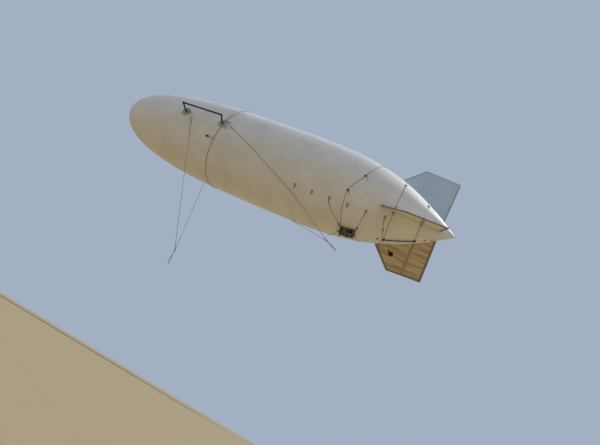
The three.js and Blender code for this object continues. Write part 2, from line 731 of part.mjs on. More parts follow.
// Gimbal camera: a fixed base, a yoke that pans below it and a ball that tilts between the arms
function addGimbal(placed) {
  const g = GIMBAL;
  const baseTop = -PAYLOAD.height - SEAT_GAP;
  const baseEnd = baseTop - g.base_height;
  const yokeTop = baseEnd - SEAT_GAP;
  const yokeEnd = yokeTop - g.yoke_plate;
  const ballHeight = yokeEnd - g.ball_gap - g.ball_radius;
  const armFace = g.ball_radius + g.ball_gap;
  addPart('gimbal_base', turnedAlongZ(g.base_radius, g.x, baseEnd, baseTop), 'black', placed);

  const bar = box(g.arm_width, 2 * (armFace + g.arm_thickness), g.bar_height);
  const pieces = [bar.translate(g.x, 0, yokeEnd + g.bar_height / 2)];
  const armTop = yokeEnd + g.arm_root;
  const armEnd = ballHeight - g.arm_width / 2;
  for (const hand of [-1, 1]) {
    const arm = box(g.arm_width, g.arm_thickness, armTop - armEnd);
    pieces.push(arm.translate(g.x, hand * (armFace + g.arm_thickness / 2), (armTop + armEnd) / 2));
  }
  const plate = turnedAlongZ(g.yoke_radius, g.x, yokeEnd, yokeTop);
  addPart('gimbal_yoke', joined([plate, ...pieces.map(toManifold)]), 'black', placed);

  const sphere = new THREE.SphereGeometry(g.ball_radius, 16, 10).translate(g.x, 0, ballHeight);
  const pins = turnedAlongY(g.pin_radius, g.x, ballHeight, SEAT_GAP - armFace, armFace - SEAT_GAP, 10);
  const lens = new THREE.CylinderGeometry(g.lens_radius, g.lens_radius, g.ball_radius + g.lens_length, 16);
  lens.rotateZ(Math.PI / 2).translate(g.x - (g.ball_radius + g.lens_length) / 2, 0, ballHeight);
  addPart('gimbal_ball', joined([toManifold(sphere), pins, toManifold(lens)]), 'black', placed);
}

// A place just inside the case's end face where a line ends
function caseEnd(towards, sign, inset) {
  const { point, along, across, normal } = payloadPlace();
  point.addScaledVector(along, towards * (PAYLOAD.length / 2 - LINE_END));
  point.addScaledVector(across, sign * (PAYLOAD.width / 2 - inset));
  return point.addScaledVector(normal, PAYLOAD_LINE_DEPTH);
}

// The space of the case and its clearance
function caseSpace() {
  const { length, width, height } = PAYLOAD;
  const overhang = PAYLOAD_END.overhang + SEAT_GAP;
  const space = box(length + 2 * SEAT_GAP, width + 2 * overhang, height + 2 * overhang);
  return ontoSurface(space, PAYLOAD.station, PAYLOAD.angle, 2 * SEAT_GAP + height / 2);
}

// Station and angle of a point near the envelope
function placeOf(point) {
  const angle = THREE.MathUtils.radToDeg(Math.atan2(-point.y, point.z));
  return { station: point.x + BUOYANCY_STATION, angle };
}

function shortestTurn(from, to) {
  return ((to - from + 540) % 360) - 180;
}

// A line from one point to another that lies on the envelope past the listed places in between
function laidLine(start, places, finish, lift) {
  const stops = [placeOf(start), ...places, placeOf(finish)];
  const points = [start];
  for (let i = 1; i < stops.length; i += 1) {
    const [from, to] = [stops[i - 1], stops[i]];
    const turn = shortestTurn(from.angle, to.angle);
    const count = Math.ceil(Math.abs(turn) / LAID_STEP);
    for (let k = 1; k <= count; k += 1) {
      const station = from.station + (to.station - from.station) * k / count;
      points.push(surfacePoint(station, from.angle + turn * k / count, lift));
    }
  }
  points[points.length - 1] = finish;
  return points;
}

function addPayloadLines() {
  const radius = PAYLOAD_LINE_RADIUS;
  for (const [side, sign] of SIDES) {
    for (const { end, towards, finger } of PAYLOAD_LINES) {
      const start = fingerTabEnd(finger, sign, radius);
      const finish = caseEnd(towards, sign, PAYLOAD_LINE_INSET);
      const line = toManifold(lineAlong(laidLine(start, [], finish, LINE_LIFT + radius), radius, LINE_STEPS));
      const held = caseSpace().add(fingerTab(finger, sign, SEAT_GAP));
      addPart(`payload_line_${side}_${end}`, line.subtract(held), 'rope');
    }
  }
}

// Strap over the top of the envelope, with clamps on both sides
function addStrap() {
  const lift = LINE_LIFT + STRAP_RADIUS;
  const mirrored = STRAP_ROUTE.map(({ station, angle }) => ({ station, angle: -angle }));
  const places = [...STRAP_ROUTE, { station: STRAP_TOP_STATION, angle: 0 }, ...mirrored.reverse()];
  const [start, finish] = [1, -1].map((sign) => caseEnd(-1, sign, STRAP_INSET));
  const line = laidLine(start, places, finish, lift);
  const clamps = [];
  for (const { station, angle } of STRAP_CLAMPS) {
    for (const sign of [1, -1]) {
      clamps.push(seatedBlock(STRAP_CLAMP, station, sign * angle));
    }
  }
  const strap = toManifold(lineAlong(line, STRAP_RADIUS, STRAP_STEPS)).subtract(caseSpace());
  addPart('hull_strap', joined([strap, ...clamps]), 'rope');
}

// Toggle lines from the last finger patches to the keel rod's front clamp
function addToggleLines() {
  const radius = TOGGLE_LINE_RADIUS;
  const clampStation = BELT_STATIONS.belt_front;
  const clamp = keelClamp(clampStation, SEAT_GAP);
  for (const [side, sign] of SIDES) {
    const start = fingerTabEnd(FINGER_COUNT, sign, radius);
    const station = clampStation - KEEL_CLAMP.length / 2 + LINE_END;
    const { point, across } = surfaceFrame(station, 180, TOGGLE.end_lift);
    const finish = point.addScaledVector(across, sign * TOGGLE.end_offset);
    const laid = laidLine(start, [], finish, LINE_LIFT + radius);
    const line = toManifold(lineAlong(laid, radius, LINE_STEPS));
    const half = laid[3].clone().sub(laid[1]).setLength(TOGGLE.length / 2);
    const [low, high] = [laid[2].clone().sub(half), laid[2].clone().add(half)];
    const toggle = rod(low, high, TOGGLE.radius, 10).subtract(ENVELOPE_SEAT);
    const held = clamp.add(fingerTab(FINGER_COUNT, sign, SEAT_GAP));
    addPart(`toggle_line_${side}`, line.add(toggle).subtract(held), 'rope');
  }
}

addEnvelope();
addFins();
addFinCap();
addTailRigging();
addFingerPatches();
addHandlingFrames();
addGirth();
addBridles();
addPayload();
addPayloadLines();
addStrap();
addToggleLines();

export default group;
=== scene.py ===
# Tethered aerostat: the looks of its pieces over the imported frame, in the part's own frame.
# +X runs from the nose to the tail, +Y to starboard, +Z up; the origin is the centre of buoyancy.
# A station is a distance from the nose tip. An angle is counted from the top towards port, in degrees.
# Paths, lifts and what lies on the envelope are in metres. Blocks, rings, tubes, profiles and spots
# in a place's own directions are in millimetres.
import json
import math

import bpy
from mathutils import Matrix, Vector, noise


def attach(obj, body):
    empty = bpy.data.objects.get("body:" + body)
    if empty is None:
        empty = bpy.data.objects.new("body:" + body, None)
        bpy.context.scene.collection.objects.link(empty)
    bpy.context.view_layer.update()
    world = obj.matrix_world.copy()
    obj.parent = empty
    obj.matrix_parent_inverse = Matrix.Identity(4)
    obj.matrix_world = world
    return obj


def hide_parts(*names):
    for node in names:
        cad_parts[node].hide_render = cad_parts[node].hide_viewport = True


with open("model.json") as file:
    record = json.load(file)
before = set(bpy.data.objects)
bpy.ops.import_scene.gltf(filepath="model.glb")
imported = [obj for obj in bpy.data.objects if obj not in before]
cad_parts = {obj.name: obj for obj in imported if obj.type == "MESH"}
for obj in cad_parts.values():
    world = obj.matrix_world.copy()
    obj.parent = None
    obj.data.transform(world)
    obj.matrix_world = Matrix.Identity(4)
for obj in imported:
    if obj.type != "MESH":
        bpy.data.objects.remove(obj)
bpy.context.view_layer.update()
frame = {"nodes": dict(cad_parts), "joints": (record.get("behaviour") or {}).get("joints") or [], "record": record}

# Envelope
MM = 0.001
LENGTH = 12.5
RADIUS = 1.475
WIDEST = 6.975
BUOYANCY = 6.15
# Powers of the bow's outline and of the stern's
BOW = (3.43, 2.05)
STERN = (2.84, 0.96)
GORES = 16
SLOPE_STEP = 0.002
SIDES = (("port", 1), ("starboard", -1))
X, Y, Z = Vector((1, 0, 0)), Vector((0, 1, 0)), Vector((0, 0, 1))


def hull_radius(station):
    """Radius of the envelope at a station: a blunt bow and a pointed stern."""
    share, (power, root) = (WIDEST - max(station, 0.0)) / WIDEST, BOW
    if station >= WIDEST:
        share, (power, root) = min((station - WIDEST) / (LENGTH - WIDEST), 1.0), STERN
    return RADIUS * max(1 - share ** power, 0.0) ** (1 / root)


def hull_frame(station, angle, lift=0.0):
    """Point on the envelope and its directions: outwards, along it to the tail, and across it."""
    low, high = max(station - SLOPE_STEP, 0.0), min(station + SLOPE_STEP, LENGTH)
    tilt = math.atan(-(hull_radius(high) - hull_radius(low)) / (high - low))
    a = math.radians(angle)
    outward = Vector((0, -math.sin(a), math.cos(a)))
    normal = outward * math.cos(tilt) + X * math.sin(tilt)
    along = X * math.cos(tilt) - outward * math.sin(tilt)
    point = X * (station - BUOYANCY) + outward * hull_radius(station) + normal * lift
    return point, normal, along, normal.cross(along)


def on_hull(station, angle, lift=0.0):
    return hull_frame(station, angle, lift)[0]


def arc(width, station):
    """The angle that a width across the envelope takes."""
    return math.degrees(width / hull_radius(station))


def around(count, extra=0):
    """Angles round a full turn, and some extra ones past it, in radians."""
    return [2 * math.pi * k / count for k in range(count + extra)]


def circle(radius, count, extra=0):
    return [(radius * math.cos(t), radius * math.sin(t)) for t in around(count, extra)]


def steps(first, last, count):
    return [first + (last - first) * k / count for k in range(count + 1)]


# Materials
class Look:
    """A material that is made of noise in the part's own coordinates."""

    def __init__(self, name, roughness, specular=0.5, metallic=0.0, sheen=0.0, coat=0.0):
        self.material = bpy.data.materials.new(name)
        self.material.use_nodes = True
        self.tree = self.material.node_tree
        self.shader = self.tree.nodes["Principled BSDF"]
        for key, value in (("Roughness", roughness), ("Specular IOR Level", specular), ("Metallic", metallic),
                           ("Sheen Weight", sheen), ("Coat Weight", coat)):
            self.shader.inputs[key].default_value = value

    def node(self, kind, links, **values):
        """A new node with its values set, and with sources linked to its sockets."""
        made = self.tree.nodes.new(kind)
        for key, value in values.items():
            if key in made.inputs:
                made.inputs[key].default_value = value
            else:
                setattr(made, key, value)
        for key, source in links.items():
            self.tree.links.new(source, made.inputs[key])
        return made

    def place(self, scale=(1, 1, 1)):
        coordinates = self.tree.nodes.new("ShaderNodeTexCoord")
        made = self.node("ShaderNodeMapping", {"Vector": coordinates.outputs["Object"]}, Scale=scale)
        return made.outputs["Vector"]

    def noise(self, scale, detail, rough=0.55, stretch=(1, 1, 1)):
        made = self.node("ShaderNodeTexNoise", {"Vector": self.place(stretch)}, Scale=scale, Detail=detail,
                         Roughness=rough)
        return made.outputs["Fac"]

    def math(self, operation, first, second):
        """A sum or product of a socket with another socket or a number."""
        made = self.node("ShaderNodeMath", {0: first}, operation=operation)
        if isinstance(second, float):
            made.inputs[1].default_value = second
        else:
            self.tree.links.new(second, made.inputs[1])
        return made.outputs[0]

    def shade(self, value, low, dark, high, light, socket="Base Color"):
        """Take a socket from one colour to another as a value goes from low to high."""
        made = self.node("ShaderNodeValToRGB", {"Fac": value})
        for element, position, colour in zip(made.color_ramp.elements, (low, high), (dark, light)):
            element.position = position
            element.color = (*colour, 1.0)
        self.tree.links.new(made.outputs["Color"], self.shader.inputs[socket])

    def bump(self, height, strength, distance):
        made = self.node("ShaderNodeBump", {"Height": height}, Strength=strength, Distance=distance)
        self.tree.links.new(made.outputs["Normal"], self.shader.inputs["Normal"])


def fabric(name, dark, light, roughness, pitch, stain_and_fold_shade_share=0.5, slack=0.3, stretch=(1, 1, 1), low=0.30,
           high=0.62):
    """Coated cloth: a large soft stain pattern, a weave with its threads a pitch apart, and slight slackness. A
    stretch draws the stain pattern out into bands, which on the lower fins are painted shade of their folds.
    """
    look = Look(name, roughness, 0.35, sheen=0.1)
    # On the lower fins the stretched stain noise is painted shade of the folds.
    stain_and_fold_shade = look.math("MULTIPLY", look.noise(1.3, 6.0, stretch=stretch), stain_and_fold_shade_share)
    fine = look.math("MULTIPLY", look.noise(24.0, 8.0, 0.7), 1 - stain_and_fold_shade_share)
    look.shade(look.math("ADD", stain_and_fold_shade, fine), low, dark, high, light)
    threads = [look.node("ShaderNodeTexWave", {"Vector": look.place()}, wave_type="BANDS",
                         bands_direction=run, Scale=1 / pitch / 6.2832 * 2, Distortion=0.6,
                         Detail=1.0).outputs["Fac"] for run in "XY"]
    folds = look.math("MULTIPLY", look.noise(5.0, 5.0, 0.6, stretch), slack)
    look.bump(look.math("ADD", folds, look.math("MULTIPLY", *threads)), 0.35, pitch * 0.35)
    return look.material


def smooth(name, dark, light, roughness, specular=0.5):
    """Composite, plastic or paint with faint scuffs."""
    look = Look(name, roughness, specular)
    scuffs = look.noise(6.0, 8.0, 0.75, (8, 8, 8))
    look.shade(scuffs, 0.45, dark, 0.75, light)
    look.shade(scuffs, 0.3, (roughness,) * 3, 0.8, (roughness + 0.25,) * 3, "Roughness")
    look.bump(look.noise(300.0, 2.0), 0.15, 0.0006)
    return look.material


def braided(name, dark, light):
    """Rope with fuzz."""
    look = Look(name, 0.85, 0.2, sheen=0.25)
    look.shade(look.noise(90.0, 5.0, 0.7), 0.35, dark, 0.65, light)
    look.bump(look.noise(700.0, 3.0, 0.7), 0.6, 0.0012)
    return look.material


def metal(name, dark, light):
    """Dull metal with fine spots."""
    look = Look(name, 0.35, metallic=1.0)
    spots = look.noise(240.0, 3.0, 0.5, (1, 1, 3))
    look.shade(spots, 0.3, dark, 0.7, light)
    look.shade(spots, 0.2, (0.35,) * 3, 0.8, (0.45,) * 3, "Roughness")
    look.bump(spots, 0.05, 0.0003)
    return look.material


def veneer(name, dark, light):
    """Varnished wood with its grain along X."""
    look = Look(name, 0.45)
    grain = look.noise(3.0, 8.0, 0.65, (3, 40, 40))
    look.shade(grain, 0.35, dark, 0.62, light)
    look.bump(grain, 0.25, 0.0008)
    return look.material


def glass(name, dark, light):
    look = Look(name, 0.06, 0.8, coat=0.8)
    look.shade(look.noise(30.0, 2.0), 0.3, dark, 0.8, light)
    return look.material


# Each look with its dark and light colours, and what differs from its kind's own values
M = {
    "envelope": fabric("envelope_fabric", (0.70, 0.685, 0.66), (0.83, 0.82, 0.80), 0.5, 0.005, 0.7, 0.5),
    "tape": fabric("seam_tape", (0.68, 0.665, 0.64), (0.80, 0.79, 0.77), 0.42, 0.003, 0.4, 0.2),
    "patch": fabric("patch_fabric", (0.37, 0.38, 0.45), (0.50, 0.515, 0.60), 0.7, 0.003),
    "pale_patch": fabric("pale_patch_fabric", (0.56, 0.57, 0.60), (0.70, 0.71, 0.74), 0.65, 0.003),
    "gusset": fabric("gusset_fabric", (0.27, 0.33, 0.54), (0.37, 0.44, 0.68), 0.7, 0.003),
    # The fins are one cloth, and their colours are painted light. The top fin's blue-grey is painted sky-lit
    # shade. The port and starboard fins' tan is painted light bounced up from the ground, and their stains, drawn
    # out into chordwise bands with more contrast on the starboard fin, are painted shade of their folds.
    "fin_top": fabric("top_fin_painted_sky_shade", (0.48, 0.585, 0.69), (0.58, 0.685, 0.79), 0.6, 0.004, 0.7, 1.2),
    "fin_port": fabric("port_fin_painted_ground_light_and_fold_shade", (0.66, 0.595, 0.45), (0.86, 0.785, 0.61), 0.6, 0.004, 0.7, 1.2,
                       (0.8, 6, 6)),
    "fin_starboard": fabric("starboard_fin_painted_ground_light_and_fold_shade", (0.42, 0.34, 0.235), (0.69, 0.57, 0.40), 0.6, 0.004, 0.8,
                            1.2, (0.8, 7, 7), 0.42, 0.59),
    # The dark border and spar colours are painted shadows of the edge tubes and the spar inside the thin fin
    # cloth, and the top fin's border is the same with painted sky-lit shade. The border and spar looks also colour
    # the sockets at the fins' feet.
    "border": fabric("fin_border_tube_shadow_and_socket", (0.18, 0.17, 0.158), (0.29, 0.273, 0.252), 0.6, 0.003),
    "top_fin_border_shade": fabric("top_fin_border_painted_shade", (0.20, 0.25, 0.31), (0.28, 0.34, 0.41), 0.6, 0.003),
    "spar": fabric("fin_spar_shadow_and_socket", (0.31, 0.265, 0.195), (0.44, 0.375, 0.28), 0.65, 0.003),
    "webbing": fabric("webbing_fabric", (0.035, 0.032, 0.028), (0.085, 0.078, 0.068), 0.8, 0.002),
    "belt": fabric("belt_webbing_fabric", (0.36, 0.33, 0.265), (0.50, 0.465, 0.38), 0.8, 0.002),
    "pale_belt": fabric("pale_webbing_fabric", (0.46, 0.445, 0.41), (0.60, 0.585, 0.55), 0.75, 0.002),
    "thread": fabric("stitching_thread", (0.30, 0.29, 0.27), (0.46, 0.45, 0.42), 0.7, 0.001),
    "finger": fabric("finger_patch_fabric", (0.27, 0.245, 0.20), (0.42, 0.385, 0.32), 0.75, 0.003),
    "floor": fabric("floor_paper", (0.355, 0.267, 0.138), (0.375, 0.285, 0.148), 0.85, 0.003, 0.5, 0.1),
    "rope": braided("dark_rope", (0.17, 0.155, 0.13), (0.32, 0.295, 0.255)),
    "pale_rope": braided("pale_rope", (0.28, 0.25, 0.20), (0.44, 0.40, 0.33)),
    "tube": smooth("black_tube", (0.006, 0.006, 0.008), (0.020, 0.020, 0.024), 0.40, 0.25),
    "black": smooth("black_plastic", (0.008, 0.008, 0.010), (0.026, 0.026, 0.030), 0.45, 0.3),
    "grey_plastic": smooth("grey_plastic", (0.045, 0.044, 0.042), (0.11, 0.107, 0.10), 0.5, 0.3),
    "red": smooth("red_plastic", (0.14, 0.001, 0.002), (0.24, 0.004, 0.005), 0.5, 0.12),
    "keel": smooth("keel_tube", (0.050, 0.034, 0.018), (0.105, 0.074, 0.042), 0.5, 0.2),
    "case_frame": smooth("case_frame_paint", (0.060, 0.036, 0.018), (0.13, 0.082, 0.042), 0.5),
    "case_plate": smooth("case_plate_paint", (0.20, 0.175, 0.14), (0.32, 0.285, 0.235), 0.5),
    "steel": metal("brushed_steel_look", (0.43, 0.44, 0.46), (0.57, 0.58, 0.60)),
    "dark_steel": metal("dark_steel_look", (0.13, 0.13, 0.14), (0.21, 0.21, 0.22)),
    "ply": veneer("case_veneer", (0.12, 0.058, 0.022), (0.36, 0.190, 0.075)),
    "glass": glass("lens_glass", (0.006, 0.008, 0.014), (0.02, 0.024, 0.05)),
}

# A CAD node that stays in view takes the look of its slot
# The fin slot takes the port fin's look, with its painted ground light and fold shade.
SLOT_LOOKS = {"fin": "fin_port", "dark_tube": "tube", "case": "ply"}
for entry in frame["record"]["subparts"]:
    shown = frame["nodes"][entry["node"]].data.materials
    shown.clear()
    shown.append(M[SLOT_LOOKS.get(entry["material_slot"], entry["material_slot"])])


# Meshes
class Shape:
    """Vertices and faces of one piece, each face with the number of its material."""

    def __init__(self, *materials):
        self.materials = materials
        self.verts, self.faces, self.looks = [], [], []

    def grid(self, rows, look=0, closed_rows=False, closed_columns=False, looks=None):
        """Quads between rows of points. looks gives a material number by row and column."""
        count, width, start = len(rows), len(rows[0]), len(self.verts)
        for row in rows:
            self.verts.extend(row)
        for i in range(count if closed_rows else count - 1):
            near, far = start + i * width, start + (i + 1) % count * width
            for j in range(width if closed_columns else width - 1):
                after = (j + 1) % width
                self.faces.append([near + j, near + after, far + after, far + j])
                self.looks.append(looks(i, j) if looks else look)

    def fan(self, ring, look=0, flip=False, centre=None):
        """Triangles between a ring of points and its middle."""
        count, start = len(ring), len(self.verts)
        self.verts.extend([*ring, centre or sum(ring, Vector()) / count])
        for i in range(count):
            face = [start + i, start + (i + 1) % count, start + count]
            self.faces.append(face[::-1] if flip else face)
        self.looks.extend([look] * count)

    def solid(self, rings, look=0, first=True, last=True):
        """A skin over rings of points, with a fan over each end that is asked for."""
        self.grid(rings, look, closed_columns=True)
        if first:
            self.fan(rings[0], look, True)
        if last:
            self.fan(rings[-1], look)

    def build(self, name, slot, *stands_for, body="airframe", sharp=40):
        """Make the piece. It rides a body and may stand for CAD nodes. Its slot is not used."""
        mesh = bpy.data.meshes.new(name)
        mesh.from_pydata([tuple(v) for v in self.verts], [], self.faces)
        for key in self.materials:
            mesh.materials.append(M[key])
        mesh.polygons.foreach_set("material_index", self.looks)
        mesh.polygons.foreach_set("use_smooth", [True] * len(self.faces))
        mesh.set_sharp_from_angle(angle=math.radians(sharp))
        mesh.validate()
        piece = bpy.data.objects.new(name, mesh)
        bpy.context.scene.collection.objects.link(piece)
        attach(piece, body)
        if stands_for:
            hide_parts(*stands_for)
        return piece


def spoke(side, up, angle):
    return side * math.cos(angle) + up * math.sin(angle)


def axes_of(axis):
    """An axis and two directions across it."""
    axis = axis.normalized()
    side = axis.orthogonal().normalized()
    return axis, side, axis.cross(side)


def heading_at(path, i, reach=1):
    """Direction of a path at one of its points."""
    return (path[min(i + reach, len(path) - 1)] - path[max(i - reach, 0)]).normalized()


def frames_along(points):
    """Two directions across a path at each of its points, carried along it without twisting."""
    tangents = [heading_at(points, i) for i in range(len(points))]
    side = tangents[0].orthogonal().normalized()
    frames = []
    for tangent in tangents:
        side = (side - tangent * side.dot(tangent)).normalized()
        frames.append((side, tangent.cross(side)))
    return frames


def resampled(points, spacing):
    """The same path with its points a spacing apart."""
    lengths = [0.0]
    for a, b in zip(points, points[1:]):
        lengths.append(lengths[-1] + (b - a).length)
    out = []
    k = 0
    for target in steps(0.0, lengths[-1], max(int(lengths[-1] / spacing + 0.5), 1)):
        while k < len(points) - 2 and lengths[k + 1] < target:
            k += 1
        span = lengths[k + 1] - lengths[k]
        share = 0.0 if span == 0 else (target - lengths[k]) / span
        out.append(points[k].lerp(points[k + 1], min(share, 1.0)))
    return out


def curve_through(points, spacing):
    """A smooth path through a few points, by Catmull-Rom."""
    padded = [points[0] * 2 - points[1], *points, points[-1] * 2 - points[-2]]
    out = []
    for p0, p1, p2, p3 in zip(padded, padded[1:], padded[2:], padded[3:]):
        count = max(int((p2 - p1).length / spacing), 1)
        for t in steps(0.0, 1.0, count)[:-1]:
            out.append(0.5 * (2 * p1 + (p2 - p0) * t + (2 * p0 - 5 * p1 + 4 * p2 - p3) * t * t
                              + (3 * p1 - p0 - 3 * p2 + p3) * t ** 3))
    return out + [points[-1]]


def tube(shape, points, radius, sides, look=0, closed=False):
    """A round tube along a path. radius may be a list, one for each point."""
    radii = radius if isinstance(radius, list) else [radius] * len(points)
    rings = [[point + spoke(side, up, t) * (r * MM) for t in around(sides)]
             for point, r, (side, up) in zip(points, radii, frames_along(points))]
    if closed:
        shape.grid(rings, look, True, True)
    else:
        shape.solid(rings, look)


ROPE_STRANDS = 3
ROPE_PER_TURN = 7
STRAND_OFFSET = 0.50
STRAND_RADIUS = 0.54
WHIPPING_TURN, WHIPPING_RIDGE, WHIPPING_END = 0.0022, 0.05, 0.7


def rope(shape, points, radius, pitch, look=0, closed=False):
    """Laid rope: strands that wind round each other along a path, a turn for each pitch."""
    path = resampled(points, pitch * MM / ROPE_PER_TURN)
    frames = frames_along(path)
    turns = max(round(len(path) / ROPE_PER_TURN), 1)
    for strand in range(ROPE_STRANDS):
        centre = []
        for i, (point, (side, up)) in enumerate(zip(path, frames)):
            t = 2 * math.pi * (turns * i / (len(path) - 1) + strand / ROPE_STRANDS)
            centre.append(point + spoke(side, up, t) * (radius * MM * STRAND_OFFSET))
        tube(shape, centre[:-1] if closed else centre, radius * STRAND_RADIUS, 6, look, closed)


def whipping(shape, start, towards, first, last, radius, look):
    """A binding of thread over a rope, from first to last mm on the way to a point, with a ridge a turn."""
    run = (towards - start).normalized() * MM
    path = resampled([start + run * first, start + run * last], WHIPPING_TURN)
    radii = [radius * (1.0 + WHIPPING_RIDGE * (i % 2)) for i in range(len(path))]
    radii[0] = radii[-1] = radius * WHIPPING_END
    tube(shape, path, radii, 14, look)


def turned(shape, base, axis, profile, sides, look=0):
    """A turned piece: profile is a list of (distance along the axis, radius)."""
    axis, side, up = axes_of(axis)
    rings = [[base + axis * (distance * MM) + spoke(side, up, t) * (radius * MM) for t in around(sides)]
             for distance, radius in profile]
    shape.solid(rings, look, profile[0][1] > 0, profile[-1][1] > 0)


def torus(shape, centre, axis, ring, wire, look, sides, sides_of_wire=10):
    axis, side, up = axes_of(axis)
    rows = [[centre + (spoke(side, up, a) * (ring + wire * math.cos(b)) + axis * (wire * math.sin(b))) * MM
             for b in around(sides_of_wire)] for a in around(sides)]
    shape.grid(rows, look, True, True)


def block(shape, place, size, bevel, look):
    """A box with rounded edges. place is a 4x4 matrix of its middle."""
    x, y, z = (s * MM / 2 for s in size)
    b = min(bevel * MM, x * 0.9, y * 0.9, z * 0.9)
    c = b * 0.3
    ring = []
    for sx, sy in ((1, 1), (-1, 1), (-1, -1), (1, -1)):
        corner = [(x, y - b), (x - c, y - c), (x - b, y)][::sx * sy]
        ring.extend((sx * cx, sy * cy) for cx, cy in corner)
    levels = ((-z, b), (-z + c, c), (-z + b, 0), (z - b, 0), (z - c, c), (z, b))
    shape.solid([[place @ Vector((px * (x - inset) / x, py * (y - inset) / y, height)) for px, py in ring]
                 for height, inset in levels], look)


def basis(x, y, z, point):
    """A place, as a matrix: its own three directions and its point."""
    return Matrix([(x[i], y[i], z[i], point[i]) for i in range(3)] + [(0, 0, 0, 1)])


def at(place, x, y, z):
    """The point at a spot in a place's own directions."""
    return place @ (Vector((x, y, z)) * MM)


def way(place, *axis):
    return place.to_3x3() @ Vector(axis)


def blocks(shape, place, *rows):
    """Blocks on a place, each as x, y, z, length, width, height, bevel and look."""
    for x, y, z, length, width, height, bevel, look in rows:
        block(shape, place @ Matrix.Translation(Vector((x, y, z)) * MM), (length, width, height), bevel, look)


def turned_at(shape, place, spot, axis, profile, sides, look):
    turned(shape, at(place, *spot), way(place, *axis), profile, sides, look)


# A bolt's washer and head, as their sides and profiles for a size of 1
BOLT = ((16, ((0, 1.2), (0.22, 1.2))), (6, ((0.2, 0.85), (0.9, 0.85), (1.05, 0.62))))
VALVE_BOLT = ((16, ((0, 1.15), (0.25, 1.15))), (6, ((0.2, 0.8), (0.85, 0.8), (1, 0.62))))


def bolts(shape, place, spots, axis, size, look, kind=BOLT):
    for spot in spots:
        for sides, profile in kind:
            turned_at(shape, place, spot, axis, [(d * size, r * size) for d, r in profile], sides, look)


PATCH_THICKNESS = 0.0026
# Threads, each as the pitch, length and radius of its stitches
PATCH_THREAD, FIN_THREAD, SKIRT_THREAD = (0.016, 0.010), (0.020, 0.013), (0.024, 0.014)
BELT_THREAD, RAY_THREAD = (0.016, 0.010, 0.0008), (0.010, 0.006, 0.0008)


def seat(station, angle, lift=0.0):
    """The place of a piece that sits on the envelope: its X runs aft and its Z outwards."""
    point, normal, along, across = hull_frame(station, angle, lift)
    return basis(along, across, normal, point)


def on_patch(station, angle, a, c, lift):
    """A point on the envelope a metres aft and c metres across from a place."""
    s = station + a * hull_frame(station, angle)[2].x
    return on_hull(s, angle - math.degrees(c / max(hull_radius(s), 0.05)), lift)


def pad(shape, station, angle, outline, thickness, look=0, lift=0.0006):
    """A fabric patch on the envelope with a rounded edge. outline is in metres aft and across."""
    edge = max(max(abs(a), abs(c)) for a, c in outline)
    rim = 1 - min(thickness * 1.5 / edge, 0.3)
    levels = ((0.001, 1.0), (0.3, 1.0), (0.6, 1.0), (0.85, 1.0), (rim, 1.0), (1.0, 0.55), (1.0, -1.0))
    rows = [[on_patch(station, angle, a * scale, c * scale, lift + thickness * height) for a, c in outline]
            for scale, height in levels]
    shape.grid(rows, look, closed_columns=True)


def oval(length, width, count, power=2.0):
    """Outline of an oval; a power over 2 squares it."""
    out = []
    for t in around(count):
        c, s = math.cos(t), math.sin(t)
        out.append((length / 2 * math.copysign(abs(c) ** (2 / power), c),
                    width / 2 * math.copysign(abs(s) ** (2 / power), s)))
    return out


def ribbon(shape, route, width, thickness, look=0, lift=0.0006):
    """Webbing that lies on the envelope along a route of (station, angle)."""
    points, normals = zip(*[hull_frame(s, a)[:2] for s, a in route])
    sections = ((-0.5, -0.5), (-0.5, 0.7), (-0.42, 1.0), (0.0, 0.9), (0.42, 1.0), (0.5, 0.7), (0.5, -0.5))
    rows = []
    for i, (point, normal) in enumerate(zip(points, normals)):
        side = normal.cross(heading_at(points, i)).normalized()
        rows.append([point + side * (u * width) + normal * (lift + h * thickness) for u, h in sections])
    shape.grid(rows, look)
    shape.fan(rows[0], look)
    shape.fan(rows[-1], look, True)


def route_between(places, step):
    """A close row of (station, angle) places through a few of them."""
    out = []
    for (s0, a0), (s1, a1) in zip(places, places[1:]):
        length = math.hypot(s1 - s0, math.radians(a1 - a0) * hull_radius((s0 + s1) / 2))
        count = max(int(length / step), 1)
        out.extend(list(zip(steps(s0, s1, count), steps(a0, a1, count)))[:-1])
    return out + [places[-1]]


def stitching(shape, points, normal, look, pitch=0.012, length=0.007, radius=0.0009):
    """A row of thread stitches along a path, each a small loop that sinks at its ends."""
    total = sum((b - a).length for a, b in zip(points, points[1:]))
    path = resampled(points, total / max(int(total / pitch), 1))
    top = normal * radius
    for start, end in zip(path, path[1:]):
        middle, direction = (start + end) / 2, (end - start).normalized()
        side = direction.cross(normal).normalized() * radius
        half = direction * length / 2
        places = ((middle - half, -0.2), (middle, 1.4), (middle + half, -0.2))
        shape.grid([[p - side, p + top * h, p + side, p - top] for p, h in places], look, closed_columns=True)


def boxed_stitches(shape, station, angle, length, width, lift, look=0, parts=6):
    """Stitching round a rectangle with a cross in it, on the envelope, each side in some parts."""
    a, c = length / 2, width / 2
    for run in (((a, c), (-a, c), (-a, -c), (a, -c), (a, c), (-a, -c)), ((-a, c), (a, -c))):
        points = [on_patch(station, angle, u0 + (u1 - u0) * k / parts, v0 + (v1 - v0) * k / parts, lift)
                  for (u0, v0), (u1, v1) in zip(run, run[1:]) for k in range(parts)]
        points.append(on_patch(station, angle, *run[-1], lift))
        stitching(shape, points, hull_frame(station, angle)[1], look)


def round_stitches(shape, station, angle, radius, count, look):
    """A ring of stitches on a round patch."""
    rim = [on_patch(station, angle, a, c, 0.0038) for a, c in circle(radius, count, 1)]
    stitching(shape, rim, hull_frame(station, angle)[1], look, *PATCH_THREAD)


